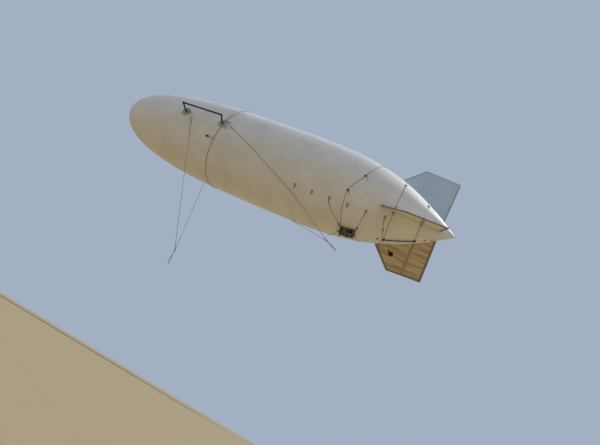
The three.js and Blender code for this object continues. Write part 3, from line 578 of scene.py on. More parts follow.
# Envelope: sixteen gores with a shallow dip and a tape at each seam
GORE_SHARES = (0, 0.03, 0.07, 0.13, 0.22, 0.36, 0.5, 0.64, 0.78, 0.87, 0.93, 0.97)
BOW_ROWS, STERN_ROWS = 66, 60
BOW_SPREAD, STERN_SPREAD = 2.1, 1.3
SEAM_DIP, SEAM_REACH, SEAM_FADE = 0.0035, 0.06, 0.5
SLACK, SINK = 0.0015, 0.0005
TAPE_START, TAPE_RUN, TAPE_STEPS = 0.05, 12.33, 150
TAPE_WIDTH, TAPE_THICKNESS, TAPE_LIFT = 0.026, 0.0010, -0.0034
BOW_CAP_END, STERN_CAP = 0.045, 0.20
CAP_LIFT, CAP_RIM_LIFT, CAP_SIDES = 0.0018, 0.0002, 48


def add_envelope():
    columns = [(gore + share) * 360 / GORES for gore in range(GORES) for share in GORE_SHARES]
    stations = [WIDEST * (i / BOW_ROWS) ** BOW_SPREAD for i in range(1, BOW_ROWS + 1)]
    stations += [WIDEST + (LENGTH - WIDEST) * (1 - (1 - i / STERN_ROWS) ** STERN_SPREAD)
                 for i in range(1, STERN_ROWS)]
    rows = []
    for station in stations:
        radius = hull_radius(station)
        row = []
        for angle in columns:
            distance = abs((angle * GORES / 360 + 0.5) % 1 - 0.5) * 2 * math.pi / GORES * radius
            dip = -SEAM_DIP * math.exp(-(distance / SEAM_REACH) ** 2) * min(radius / SEAM_FADE, 1)
            a = math.radians(angle)
            slack = noise.noise(Vector((station * 0.9, math.cos(a) * 2, math.sin(a) * 2)))
            row.append(on_hull(station, angle, dip + SLACK * slack - SINK))
        rows.append(row)
    shape = Shape("envelope")
    shape.grid(rows, closed_columns=True)
    shape.fan(rows[0], flip=True, centre=X * -BUOYANCY)
    shape.fan(rows[-1], centre=X * (LENGTH - BUOYANCY))
    shape.build("envelope_skin", "envelope", "envelope", sharp=80)

    tapes = Shape("tape")
    shares = [0.5 - 0.5 * math.cos(math.pi * i / TAPE_STEPS) for i in range(TAPE_STEPS + 1)]
    for gore in range(GORES):
        route = [(TAPE_START + TAPE_RUN * share, gore * 360 / GORES) for share in shares]
        ribbon(tapes, route, TAPE_WIDTH, TAPE_THICKNESS, lift=TAPE_LIFT)
    tapes.build("seam_tapes", "envelope")

    caps = Shape("tape")
    for start, end, count in ((0.0004, BOW_CAP_END, 14), (LENGTH - STERN_CAP, LENGTH - 0.0006, 16)):
        caps.grid([[on_hull(station, k * 360 / CAP_SIDES, CAP_RIM_LIFT if i in (0, count) else CAP_LIFT)
                    for k in range(CAP_SIDES)] for i, station in enumerate(steps(start, end, count))],
                  closed_columns=True)
    caps.build("end_caps", "envelope")


VALVE = ((-2, 134), (4, 134), (6, 131), (6, 98), (10, 94), (14, 88), (15.5, 80), (15.5, 30), (14.5, 0))
VALVE_SEAL = (104, 3)
VALVE_BOLTS, VALVE_BOLT_CIRCLE, VALVE_BOLT_SIZE = 16, 119, 6
# Ribs: how many, their size in millimetres, and how far out and up they stand in metres
VALVE_RIBS, VALVE_RIB, VALVE_RIB_PLACE = 12, (36, 6, 4), (0.056, 0.0150)


def add_valve():
    """Gas valve on the top: its flange, seal, bolts and twelve ribs."""
    shape = Shape("steel", "black", "dark_steel")
    place = seat(BUOYANCY, 0.0)
    base = place.translation
    turned(shape, base, Z, VALVE, 64)
    torus(shape, base + Z * 0.007, Z, *VALVE_SEAL, 1, 64)
    spots = [(x, y, 6) for x, y in circle(VALVE_BOLT_CIRCLE, VALVE_BOLTS)]
    bolts(shape, place, spots, (0, 0, 1), VALVE_BOLT_SIZE, 2, VALVE_BOLT)
    out, up = VALVE_RIB_PLACE
    for t in around(VALVE_RIBS):
        ray = spoke(X, Y, t)
        block(shape, basis(ray, Z.cross(ray), Z, base + ray * out + Z * up), VALVE_RIB, 1, 1)
    shape.build("valve_flange", "steel", "gas_valve")


add_envelope()
add_valve()

# Fins, as corners of the tube centre lines: station and height above the axis
LEADING = ((9.880, 0.790), (10.932, 2.068))
TRAILING = ((12.006, 0.150), (12.078, 1.990))
TIP = (LEADING[1], TRAILING[1])
SPAR_STATION = 11.43
SLEEVE = 0.0235
PANEL_HALF = 0.012
BORDER = 0.074
FIN_INSETS = (0, 0.0012, 0.004, 0.009, 0.015, 0.022, 0.030, 0.040, 0.056, BORDER, BORDER + 0.012)
SPAR_INSETS = (-0.070, -0.060, -0.050, -0.025, 0, 0.025, 0.050, 0.060, 0.070)
FORWARD_COLUMNS = 34
AFT_COLUMNS = 18
BODY_ROWS = 84
LINE_TRIES = 14
# Each fin's name, angle, looks of its panel, border and spar, depth of its folds and columns in its border. The
# looks hold painted light and shade: sky-lit shade, ground light and shadows of the tubes.
FINS = (("top", 0.0, "fin_top", "top_fin_border_shade", "fin_top", 0.0040, 6),
        ("port", 120.0, "fin_port", "border", "spar", 0.0080, 9),
        ("starboard", 240.0, "fin_starboard", "border", "spar", 0.0120, 9))
# How far a skin's fall from a tube, the spar's pocket and the calm ground beside both reach
SLEEVE_FALL = 0.024
SPAR_PROUD, SPAR_HALF, SPAR_EASE = 0.009, 0.034, 0.03
FOLD_EASE = 0.12
# The folds sag between the tubes, and are deeper near the fin's foot
SAG, SAG_MIDDLE, SAG_TURNS = 0.07, 10.9, 2.4
FOOT_FOLDS, FOLDS_LOST, FOLDS_FROM, FOLDS_OVER = 1.3, 0.6, 0.4, 1.5
STIFF_REACH, STIFF_EASE = 0.24, 0.12
# Folds in the skins: size, how close together along and up, and a seed
FIN_FOLDS = ((1, 1.2, 12.0, 0), (0.6, 2.6, 25.0, 7), (0.25, 9.0, 40.0, 13))
CAP_ANGLE = 240.0
CAP_PLACE = (10.879, 1.413)
CAP_STRAP_END = (10.757, 1.288)
CAP_BOSS = 0.0045
# Distance and radius of the tube's socket and its clamp, at the feet of the leading and trailing tubes
FIN_SOCKETS = (
    (LEADING, 4, ((-30, 31), (35, 31), (41, 28.5), (78, 28.5), (85, 24.5), (100, 24.5)),
     ((52, 27.5), (52, 30.5), (64, 30.5), (64, 27.5))),
    (TRAILING, 1, ((-20, 30), (30, 30), (36, 27.5), (70, 27.5), (77, 24.5), (90, 24.5)),
     ((46, 27), (46, 30), (57, 30), (57, 27))),
)


def fin_normal(angle):
    """The direction off a fin's plane on its starboard face."""
    return Vector((0, math.cos(math.radians(angle)), math.sin(math.radians(angle))))


def fin_point(angle, s, h, lift=0.0):
    """A point at a station and height of a fin, lifted off its plane."""
    a = math.radians(angle)
    return X * (s - BUOYANCY) + Vector((0, -math.sin(a), math.cos(a))) * h + fin_normal(angle) * lift


def line_distance(s, h, first, last):
    """Distance of a point of the fin's plane from a line, positive below or behind it."""
    dx, dy = last[0] - first[0], last[1] - first[1]
    return ((s - first[0]) * dy - (h - first[1]) * dx) / math.hypot(dx, dy)


def cap_share(s, h):
    """1 on the stiff ground of the cap and its strap, 0 well away from them."""
    place, start, end = Vector((s, h)), Vector(CAP_PLACE), Vector(CAP_STRAP_END)
    run = end - start
    along = min(max((place - start).dot(run) / run.length_squared, 0.0), 1.0)
    distance = (place - start - run * along).length
    return min(max((STIFF_REACH - distance) / STIFF_EASE, 0.0), 1.0)


def fin_skin_height(s, h, wrinkle, angle, side):
    """Height of a skin over the fin's middle plane: round over the tubes, slack in the panels.

    Both skins of a fin follow the same folds, so that they never cross."""
    outer = min(line_distance(s, h, *LEADING), line_distance(s, h, *TIP), -line_distance(s, h, *TRAILING))
    edge = max(outer + SLEEVE, 0.0)
    inside = max(edge - SLEEVE, 0.0)
    if edge < SLEEVE:
        half = math.sqrt(max(SLEEVE ** 2 - (SLEEVE - edge) ** 2, 0.0))
    else:
        half = PANEL_HALF + (SLEEVE - PANEL_HALF) * math.exp(-(inside / SLEEVE_FALL) ** 2)
    to_spar = abs(s - SPAR_STATION)
    half += SPAR_PROUD * math.exp(-(to_spar / SPAR_HALF) ** 4) * min(inside / SPAR_EASE, 1)
    away = min(inside / FOLD_EASE, 1) * min(to_spar / FOLD_EASE, 1)
    if angle == CAP_ANGLE:
        stiff = cap_share(s, h)
        away *= 1 - stiff
        half += CAP_BOSS * stiff
    sagged = h + SAG * away * math.cos((s - SAG_MIDDLE) * SAG_TURNS)
    folds = sum(size * noise.noise(Vector((s * along, sagged * down, 3.0 + angle + seed)))
                for size, along, down, seed in FIN_FOLDS)
    near_foot = FOOT_FOLDS - FOLDS_LOST * min(max(h - FOLDS_FROM, 0) / FOLDS_OVER, 1)
    return half + side * wrinkle * folds * away * near_foot


def on_skin(angle, side, wrinkle, path, lift=0.0):
    """Points on a skin of a fin, or lifted off it, along a path of (station, height)."""
    heights = [fin_skin_height(s, h, wrinkle, angle, side) + lift for s, h in path]
    return [fin_point(angle, s, h, height * side) for (s, h), height in zip(path, heights)]


def station_on(line, height, offset):
    """Station on a side line of the fin moved towards the tail by an offset."""
    (s0, h0), (s1, h1) = line
    slope = (s1 - s0) / (h1 - h0)
    return s0 + slope * (height - h0) + offset * math.hypot(1, slope)


def tip_height(station, inset):
    (s0, h0), (s1, h1) = TIP
    slope = (h1 - h0) / (s1 - s0)
    return h0 + slope * (station - s0) + (SLEEVE - inset) * math.hypot(1, slope)


def fin_height(s, inset, share):
    """Height at an inset from the tip, or at a share of the way up to where the insets begin."""
    if share is None:
        return tip_height(s, inset)
    low = hull_radius(s) - 0.004
    return low + (tip_height(s, FIN_INSETS[-1]) - low) * share


def fin_places():
    """Rows of (station, height) over a fin, closer together at its borders and spar."""
    levels = [(None, share) for share in steps(0, 1, BODY_ROWS)[:-1]]
    levels += [(inset, None) for inset in reversed(FIN_INSETS)]
    slant = math.hypot(1, (LEADING[1][0] - LEADING[0][0]) / (LEADING[1][1] - LEADING[0][1]))
    rows = []
    for level in levels:
        lead, trail = LEADING[0][0], TRAILING[1][0]
        for _ in range(LINE_TRIES):
            lead = station_on(LEADING, fin_height(lead, *level), -SLEEVE)
            trail = station_on(TRAILING, fin_height(trail, *level), SLEEVE)
        fore = [lead + inset * slant for inset in FIN_INSETS]
        spar = [SPAR_STATION + inset for inset in SPAR_INSETS]
        aft = [trail - inset for inset in reversed(FIN_INSETS)]
        stations = (fore[:-1] + steps(fore[-1], spar[0], FORWARD_COLUMNS)[:-1] + spar[:-1]
                    + steps(spar[-1], aft[0], AFT_COLUMNS)[:-1] + aft)
        rows.append([(s, fin_height(s, *level)) for s in stations])
    return rows


def fin_look(i, j, width, border):
    """Material number of a fin's face: panel 0, border 1, spar 2. The border strip, and the spar strip on the
    lower fins, carry painted shadows of the tubes inside the cloth. The border is some columns wide.
    """
    if i >= BODY_ROWS + len(FIN_INSETS) - 1 - border or j < border or j >= width - 1 - border:
        return 1
    first = len(FIN_INSETS) + FORWARD_COLUMNS - 1
    return 2 if first + 2 <= j < first + len(SPAR_INSETS) - 3 else 0


def add_fins():
    places = fin_places()
    width = len(places[0])
    for fin, angle, look, border, spar, wrinkle, columns in FINS:
        for face, side in (("starboard", 1), ("port", -1)):
            shape = Shape(look, border, spar)
            rows = [on_skin(angle, side, wrinkle, row)[::side] for row in places]
            shape.grid(rows, looks=lambda i, j, side=side, columns=columns: fin_look(
                i, j if side > 0 else width - 2 - j, width, columns))
            stands_for = ["fin_%s_cover" % fin] if side > 0 else []
            piece = shape.build("fin_%s_skin_%s" % (fin, face), "fin", *stands_for, sharp=70)


def add_fin_frames():
    """The tube frame's ends that show below the skins, and the lacing round the edge."""
    for fin, angle, *_ in FINS:
        shape = Shape("tube", "border", "dark_steel", "thread", "spar")
        lead, trail = LEADING[0][0], TRAILING[0][0]
        for _ in range(LINE_TRIES):
            lead = station_on(LEADING, hull_radius(lead) + 0.01, 0.0)
        for station, (line, look, socket, clamp) in zip((lead, trail), FIN_SOCKETS):
            root = fin_point(angle, station, hull_radius(station) + 0.004)
            axis = fin_point(angle, *line[1]) - fin_point(angle, *line[0])
            turned(shape, root, axis, socket, 24, look)
            turned(shape, root, axis, clamp, 24, 2)
        edge = []
        for (s0, h0), (s1, h1) in (LEADING, TIP, TRAILING[::-1]):
            out = Vector((h0 - h1, s1 - s0)).normalized() * (SLEEVE + 0.0008)
            for s, h in zip(steps(s0, s1, 32), steps(h0, h1, 32)):
                if h + out.y > hull_radius(s + out.x) + 0.02:
                    edge.append(fin_point(angle, s + out.x, h + out.y))
        tube(shape, resampled(edge, 0.03), 3.2, 8, 3)
        shape.build("fin_%s_frame_ends" % fin, "dark_tube", "fin_%s_frame" % fin)


# Insets of the stitch rows, and heights between which they run on the leading, trailing and spar side
STITCH_INSETS = (0.036, BORDER - 0.006)
SPAR_STITCHES = (-0.045, 0.045)
LEADING_RUN, TRAILING_RUN, SPAR_TOP = (1.02, 1.98), (0.32, 1.90), 1.96
# Skirts: how far from the fin, how wide and thick, and between which stations
SKIRT_PLACE, SKIRT_WIDTH, SKIRT_THICKNESS, SKIRT_RUN = 0.046, 0.052, 0.0014, (10.165, 11.985)
SKIRT_STITCHES, SKIRT_STITCH_RUN, SKIRT_MIDDLE = (0.026, 0.066), (10.17, 11.98), 11.0


def add_fin_stitching():
    """Rows of stitches along the borders and the spar pocket, on both faces."""
    shape = Shape("thread")
    runs = []
    for inset in STITCH_INSETS:
        runs.append([(station_on(LEADING, h, inset - SLEEVE), h) for h in steps(*LEADING_RUN, 60)])
        runs.append([(s, tip_height(s, inset)) for s in steps(TIP[0][0] + 0.05, TIP[1][0] - 0.06, 60)])
        runs.append([(station_on(TRAILING, h, SLEEVE - inset), h) for h in steps(*TRAILING_RUN, 80)])
    for offset in SPAR_STITCHES:
        heights = steps(hull_radius(SPAR_STATION) + 0.04, SPAR_TOP, 80)
        runs.append([(SPAR_STATION + offset, h) for h in heights])
    for _, angle, _, _, _, wrinkle, _ in FINS:
        for side in (1, -1):
            for run in runs:
                path = on_skin(angle, side, wrinkle, run, 0.0006)
                stitching(shape, path, fin_normal(angle) * side, 0, *FIN_THREAD)
    shape.build("fin_stitching", "fin")


def add_fin_roots():
    """Glued skirts with stitches along both sides of each fin's foot."""
    skirts = Shape("tape", "thread")
    for _, angle, *_ in FINS:
        for side in (1, -1):
            route = [(s, angle + side * arc(SKIRT_PLACE, s)) for s in steps(*SKIRT_RUN, 60)]
            ribbon(skirts, route, SKIRT_WIDTH, SKIRT_THICKNESS)
            for shift in SKIRT_STITCHES:
                path = [on_hull(s, angle + side * arc(shift, s), 0.0026)
                        for s in steps(*SKIRT_STITCH_RUN, 120)]
                stitching(skirts, path, hull_frame(SKIRT_MIDDLE, angle)[1], 1, *SKIRT_THREAD)
    skirts.build("fin_skirts", "envelope")


CAP_GROUND = ((-6, 104), (-3, 104), (-2, 102), (-2, 84))
CAP = ((-4, 86), (1, 88), (6, 88), (9, 84.5), (9.5, 63), (17.5, 62), (18.5, 60), (18.5, 28), (16, 24),
       (16, 0))
CAP_RIBS, CAP_RIB = 56, (62.5, 0, 13.5, 3, 2.8, 8, 0.6, 0)
CAP_GRIP = (0, 0, 18, 44, 10, 8, 1.5, 0)
STRAP_WIDTH, STRAP_THICKNESS = 0.044, 0.004
STRAP_BUTTON = ((0, 9), (4, 9), (5.2, 7), (5.2, 0))
STRAP_SECTION = ((-0.5, -0.3), (-0.5, 0.3), (-0.44, 0.5), (0.44, 0.5), (0.5, 0.3), (0.5, -0.3), (0.44, -0.5),
                 (-0.44, -0.5))


def cap_matrix(station, height, lift):
    """A place on the cap's fin: X runs aft, Z away from the starboard face."""
    normal = fin_normal(CAP_ANGLE)
    return basis(X, normal.cross(X), normal, fin_point(CAP_ANGLE, station, height, lift))


def add_fin_cap():
    """Red screw cap over the filling neck, with its keeper strap."""
    place = cap_matrix(*CAP_PLACE, 0.0205)
    base, axis = place.translation, way(place, 0, 0, 1)
    shape = Shape("red", "patch", "steel")
    turned(shape, base, axis, CAP_GROUND, 48, 1)
    turned(shape, base, axis, CAP, 64)
    for t in around(CAP_RIBS):
        blocks(shape, place @ Matrix.Rotation(t, 4, "Z"), CAP_RIB)
    blocks(shape, place, CAP_GRIP)
    tail_end = cap_matrix(*CAP_STRAP_END, 0.021).translation
    start = base + (tail_end - base).normalized() * 0.080 + axis * 0.004
    path = curve_through([start, start.lerp(tail_end, 0.5) + axis * 0.003, tail_end], 0.01)
    rows = []
    for i, point in enumerate(path):
        along = heading_at(path, i)
        side = along.cross(axis).normalized()
        rows.append([point + side * (u * STRAP_WIDTH) + side.cross(along) * (v * STRAP_THICKNESS)
                     for u, v in STRAP_SECTION])
    shape.solid(rows)
    turned(shape, tail_end - axis * 0.002, axis, STRAP_BUTTON, 20, 2)
    shape.build("fin_cap_red", "red", "fin_starboard_cap")


add_fins()
add_fin_frames()
add_fin_stitching()
add_fin_roots()
add_fin_cap()

# Tail belts, keel rod and keel tabs
BELTS = (("belt_front", 10.565), ("belt_rear", 11.420))
BELT_WIDTH = 0.028
BELT_THICKNESS = 0.0030
BELT_STEP = 3
BUCKLE_ANGLES = (60.0, 300.0)
BUCKLE = ((0, 0, 6, 60, 70, 20, 4, 2), (0, 10, 18, 44, 26, 6, 2, 3))
EYELET = ((0, 5), (2, 5), (3, 3), (3, 0))
TAB_FROM_FIN = 0.022
TAB_SPAN = 0.160
TAB_WIDTH = 0.096
# The rear belt's run over the top, up to this angle on both sides, takes the paler colour of the seam tape:
# painted sheen of the sky on the belt's top.
SKY_SHEEN_ANGLE = 111
KEEL_LIFT = 0.0246
KEEL_RADIUS = 13.5
KEEL_STEPS, KEEL_BANDS = 24, (4, 12, 19)
KEEL_BAND = ((0, 13.7), (1, 15), (59, 15), (60, 13.7))
KEEL_CLAMP = ((0, 0, 8, 70, 62, 16, 4, 1), (0, 0, 27, 56, 44, 26, 8, 0))
KEEL_SLEEVE = ((0, 14), (1, 16.5), (71, 16.5), (72, 14))
KEEL_TABS = (("keel_tab_front", 10.379), ("keel_tab_middle", 11.697), ("keel_tab_rear", 11.883))


def tab_outline():
    """Outline of a belt tab that is widest beside its fin: aft and away from the fin, from its middle."""
    out = []
    for t in around(32):
        reach = math.cos(t)
        half = TAB_WIDTH / 2 * (0.74 - 0.26 * reach) * abs(math.sin(t)) ** 0.8
        out.append((math.copysign(half, math.sin(t)), TAB_SPAN / 2 * reach))
    return out


def add_belts():
    for name, station in BELTS:
        shape = Shape("belt", "thread", "black", "steel", "tape")
        # The rear belt's top run takes the paler tape colour as painted sheen of the sky.
        upper = 4 if name == "belt_rear" else 0
        for first, last, look in ((-SKY_SHEEN_ANGLE, SKY_SHEEN_ANGLE, upper), (SKY_SHEEN_ANGLE, 360 - SKY_SHEEN_ANGLE, 0)):
            route = [(station, a) for a in range(first, last + 1, BELT_STEP)]
            ribbon(shape, route, BELT_WIDTH, BELT_THICKNESS, look)
        for shift in (-0.010, 0.010):
            for first in range(0, 360, 45):
                path = [on_hull(station + shift, a, 0.0042) for a in range(first, first + 46, BELT_STEP)]
                stitching(shape, path, hull_frame(station, first + 22)[1], 1, *BELT_THREAD)
        for _, angle, *_ in FINS:
            for side in (1, -1):
                middle = angle + side * arc(TAB_FROM_FIN + TAB_SPAN / 2, station)
                pad(shape, station, middle, [(a, -c * side) for a, c in tab_outline()][::-side], 0.0055)
                boxed_stitches(shape, station, middle, 0.050, 0.100, 0.0066, 1)
                place = seat(station, angle + side * arc(TAB_FROM_FIN + 0.022, station), 0.0065)
                blocks(shape, place, (0, 0, 0, 60, 16, 7, 2, 2))
                for x in (-22, 22):
                    turned_at(shape, place, (x, 0, 3), (0, 0, 1), EYELET, 12, 3)
        for angle in BUCKLE_ANGLES:
            blocks(shape, seat(station, angle, 0.0065), *BUCKLE)
            tail = [(station + 0.002 * k, angle + 1.6 + 0.75 * k) for k in range(10)]
            ribbon(shape, tail, BELT_WIDTH * 0.96, 0.0024, 0, 0.0042)
        shape.build("%s_webbing" % name, "webbing", name)


def add_keel():
    shape = Shape("keel", "black", "steel", "webbing")
    path = [on_hull(s, 180, KEEL_LIFT) for s in steps(BELTS[0][1], BELTS[1][1], KEEL_STEPS)]
    tube(shape, path, KEEL_RADIUS, 20)
    for i in KEEL_BANDS:
        turned(shape, path[i] - X * 0.03, X, KEEL_BAND, 20, 3)
    for _, station in BELTS:
        place = seat(station, 180, 0.0046)
        blocks(shape, place, *KEEL_CLAMP)
        turned_at(shape, place, (-36, 0, 20), (1, 0, 0), KEEL_SLEEVE, 20, 3)
        bolts(shape, place, [(x, y, 16) for x in (-26, 26) for y in (-24, 24)], (0, 0, 1), 5, 2)
    shape.build("keel_rod_clamped", "dark_tube", "keel_rod")
    for name, station in KEEL_TABS:
        shape = Shape("webbing", "dark_steel")
        pad(shape, station, 180, oval(0.090, 0.040, 36, 3.0), 0.0060)
        boxed_stitches(shape, station, 180, 0.050, 0.022, 0.0074)
        point, normal, _, across = hull_frame(station, 180, 0.0095)
        torus(shape, point, across * 0.35 + normal, 11, 2.2, 1, 24, 8)
        shape.build("%s_webbing" % name, "webbing", name)


add_belts()
add_keel()

# Finger patches of the payload rows
FINGER_ANGLE = 135.5
FINGER_FIRST, FINGER_PITCH, FINGERS = 7.560, 0.567, 6
FINGER_SIZE, FINGER_POWER = (0.076, 0.146), 2.2
FINGER_TAB, FINGER_TAB_WIDTH = 0.070, 0.024
FINGER_EYE, FINGER_RING = 0.062, (13, 2.6)


def finger_station(number):
    return FINGER_FIRST + FINGER_PITCH * (number - 1)


def add_fingers():
    for side, sign in SIDES:
        for number in range(1, FINGERS + 1):
            station, angle = finger_station(number), sign * FINGER_ANGLE
            down = sign * arc(FINGER_TAB, station)
            shape = Shape("finger", "belt", "thread", "dark_steel")
            pad(shape, station, angle, oval(*FINGER_SIZE, 44, FINGER_POWER), PATCH_THICKNESS)
            route = [(station, a) for a in steps(angle - down * 0.62, angle + down * 1.08, 12)]
            ribbon(shape, route, FINGER_TAB_WIDTH, 0.0022, 1, 0.0034)
            for share in (-0.30, 0.16):
                boxed_stitches(shape, station, angle + down * share, 0.018, 0.034, 0.0064, 2)
            eye_angle = angle + sign * arc(FINGER_EYE, station)
            point, normal, along, across = hull_frame(station, eye_angle, 0.0095)
            torus(shape, point, along, 8.5, 4.2, 1, 20)
            link = point - across * sign * 0.011 + normal * 0.001
            torus(shape, link, normal + along * 0.15, *FINGER_RING, 3, 28, 8)
            name = "finger_%s_%d" % (side, number)
            shape.build("%s_webbing" % name, "patch", name)


add_fingers()

# Handling frames on both sides
FRAME_FEET = (("front", 2.980), ("rear", 4.450))
FRAME_ANGLE = 95.0
STAND_OFF = 0.430
FRAME_SWEEP = 0.087
FRAME_STUB = 0.034
FRAME_TUBE = 25
SOCKET_TOP = 0.0463
FOOT_SOCKET = ((-4, 33), (9.5, 33), (11.5, 32.5), (11.5, 29.5), (41, 29.5), (44, 30.5), (46, 30.5),
               (46, 26.2))
FOOT_CLAMP = ((24, 29.6), (24, 30.8), (34, 30.8), (34, 29.6))
LEG_CAP = ((0, 25.5), (2, 29.2), (74, 29.2), (84, 28.5), (94, 22), (99, 11), (100, 0))
RAIL_CAP = ((0, 0), (0.5, 12), (4, 23), (12, 29.2), (96, 29.2), (98, 25.5))
RAIL_SLEEVE = ((0, 25.2), (1, 27.2), (43, 27.2), (44, 25.2))
RIVET = ((0, 6.8), (4, 6.8), (6.2, 5), (6.2, 0))
FOOT_PATCH, FOOT_STITCHES = 0.320, (0.150, 72)
FOOT_BAND_REACH, FOOT_BAND_WIDTH = 0.135, 0.025
GUSSET_WIDTH, GUSSET_HEIGHT, GUSSET_AREA, GUSSET_STEPS = 0.215, 0.192, 0.0196, 12
# The two fanned bands: start behind the rear foot, run aft, and angle that they climb
FANNED_BANDS = ((-0.03, -0.020, 26.0), (0.03, 0.260, 24.0))
FANNED_WIDTH, FANNED_FOOT_ANGLE = 0.050, 5.5
REAR_PATCH, REAR_PATCH_AFT, REAR_PATCH_TURN = (0.190, 0.300), 0.165, 0.6


def add_foot(name, station, angle):
    """A foot patch with its cross bands and socket."""
    point, normal = hull_frame(station, angle)[:2]
    shape = Shape("patch", "black", "steel", "thread", "belt")
    pad(shape, station, angle, oval(FOOT_PATCH, FOOT_PATCH, 56), PATCH_THICKNESS)
    round_stitches(shape, station, angle, *FOOT_STITCHES, 3)
    for turn in (0, 45, 90, 135):
        c, s = [FOOT_BAND_REACH * part(math.radians(turn)) for part in (math.cos, math.sin)]
        route = [(station + c * u, angle - arc(s * u, station)) for u in steps(-1, 1, 16)]
        ribbon(shape, route, FOOT_BAND_WIDTH, 0.0018, 4, 0.0030 + turn * 0.00002)
    turned(shape, point, normal, FOOT_SOCKET, 40, 1)
    turned(shape, point, normal, FOOT_CLAMP, 40, 2)
    shape.build("%s_flange" % name, "patch", name)


def add_frames():
    for side, sign in SIDES:
        angle = sign * FRAME_ANGLE
        feet = [hull_frame(station, angle) for _, station in FRAME_FEET]
        front, rear = [point + normal * STAND_OFF + along * FRAME_SWEEP for point, normal, along, _ in feet]
        for end, station in FRAME_FEET:
            add_foot("foot_%s_%s" % (side, end), station, angle)
        shape = Shape("tube", "black", "steel")
        rail = (rear - front).normalized()
        for (point, normal, *_), top, inner in zip(feet, (front, rear), (rail, -rail)):
            socket = point + normal * SOCKET_TOP
            knee = point + normal * (SOCKET_TOP + FRAME_STUB)
            leg = (top - knee).normalized()
            bend = [knee - normal * 0.012, knee + (leg - normal) * 0.003, knee + leg * 0.012]
            tube(shape, [socket, *bend, knee + leg * 0.15, top - leg * 0.02], FRAME_TUBE, 28)
            turned(shape, socket, normal, ((0, 28.5), (18, 28.5), (20, 25.5)), 28, 1)
            turned(shape, top - leg * 0.072, leg, LEG_CAP, 28, 1)
            turned(shape, top - inner * 0.027, inner, RAIL_CAP, 28, 1)
            out = rail.cross(leg).normalized()
            for shift, axis in ((0.055, inner), (-0.055, leg)):
                turned(shape, top + axis * shift + out * 0.026, out, RIVET, 12, 2)
        bar = [front + rail * 0.03, front.lerp(rear, 0.33), front.lerp(rear, 0.66), rear - rail * 0.03]
        tube(shape, bar, FRAME_TUBE, 28)
        for share in (0.24, 0.5, 0.76):
            turned(shape, front.lerp(rear, share) - rail * 0.022, rail, RAIL_SLEEVE, 28, 1)
        name = "handling_frame_%s" % side
        shape.build("%s_tubes" % name, "dark_tube", name)
        add_frame_stays(side, sign)


def add_frame_stays(side, sign):
    """The gusset behind the front leg, and the two bands that fan up over the hull from the rear foot."""
    angle = sign * FRAME_ANGLE
    front, rear = FRAME_FEET[0][1], FRAME_FEET[1][1]
    rows = []
    for u in steps(0, 1, GUSSET_STEPS):
        row = []
        for v in steps(0, 1, GUSSET_STEPS):
            s = front + 0.034 * (0.65 + 0.35 * u) + 0.048 * u + GUSSET_WIDTH * (1 - u) ** 1.15 * v
            sag = 0.006 * math.sin(math.pi * u) * math.sin(math.pi * v)
            point, normal, _, across = hull_frame(s, angle)
            row.append(point + normal * (0.0040 + 0.190 * u) + across * sag)
        rows.append(row)
    sheet = Shape("gusset")
    sheet.grid(rows)
    piece = sheet.build("frame_gusset_%s" % side, "patch")
    bands = Shape("pale_patch", "thread", "patch", "webbing")
    patch_station, patch_angle = rear + REAR_PATCH_AFT, angle + sign * REAR_PATCH_TURN
    pad(bands, patch_station, patch_angle, oval(*REAR_PATCH, 44, 3.2), 0.0020, 2, 0.0004)
    hem_angle = patch_angle - sign * arc(0.140, patch_station)
    hem = [(s, hem_angle) for s in steps(patch_station - 0.085, patch_station + 0.085, 8)]
    ribbon(bands, hem, 0.020, 0.0020, 3, 0.0022)
    for start, aft, up in FANNED_BANDS:
        route = [(rear + start + aft * u, angle - sign * (FANNED_FOOT_ANGLE + up * u))
                 for u in steps(0, 1, 24)]
        ribbon(bands, route, FANNED_WIDTH, 0.0016, 0, 0.0008)
        pad(bands, *route[-1], oval(0.10, 0.13, 36, 3.0), 0.0018)
        boxed_stitches(bands, *route[-1], 0.05, 0.07, 0.0030, 1)
    bands.build("foot_bands_%s" % side, "patch")
    hems = Shape("webbing")
    tube(hems, resampled([row[-1] for row in rows], 0.012), 4.2, 8)
    hems.build("gusset_hem_%s" % side, "webbing")


add_frames()

# Girth cable with its tensioner
GIRTH_LIFT = 0.011
GIRTH_MIDDLE, GIRTH_SLANT = 4.505, 0.150
# Ropes, each as its radius and its pitch
GIRTH_ROPE, TENSIONER_ROPE = (7.2, 85), (6.2, 60)
TENSIONER = (4.184, 118.3)
DRUM = ((0, 4), (2, 8.5), (6, 8.5), (6, 6.5), (52, 6.5), (52, 8.5), (56, 8.5), (58, 4))


def girth_station(angle):
    return GIRTH_MIDDLE + GIRTH_SLANT * math.cos(math.radians(angle))


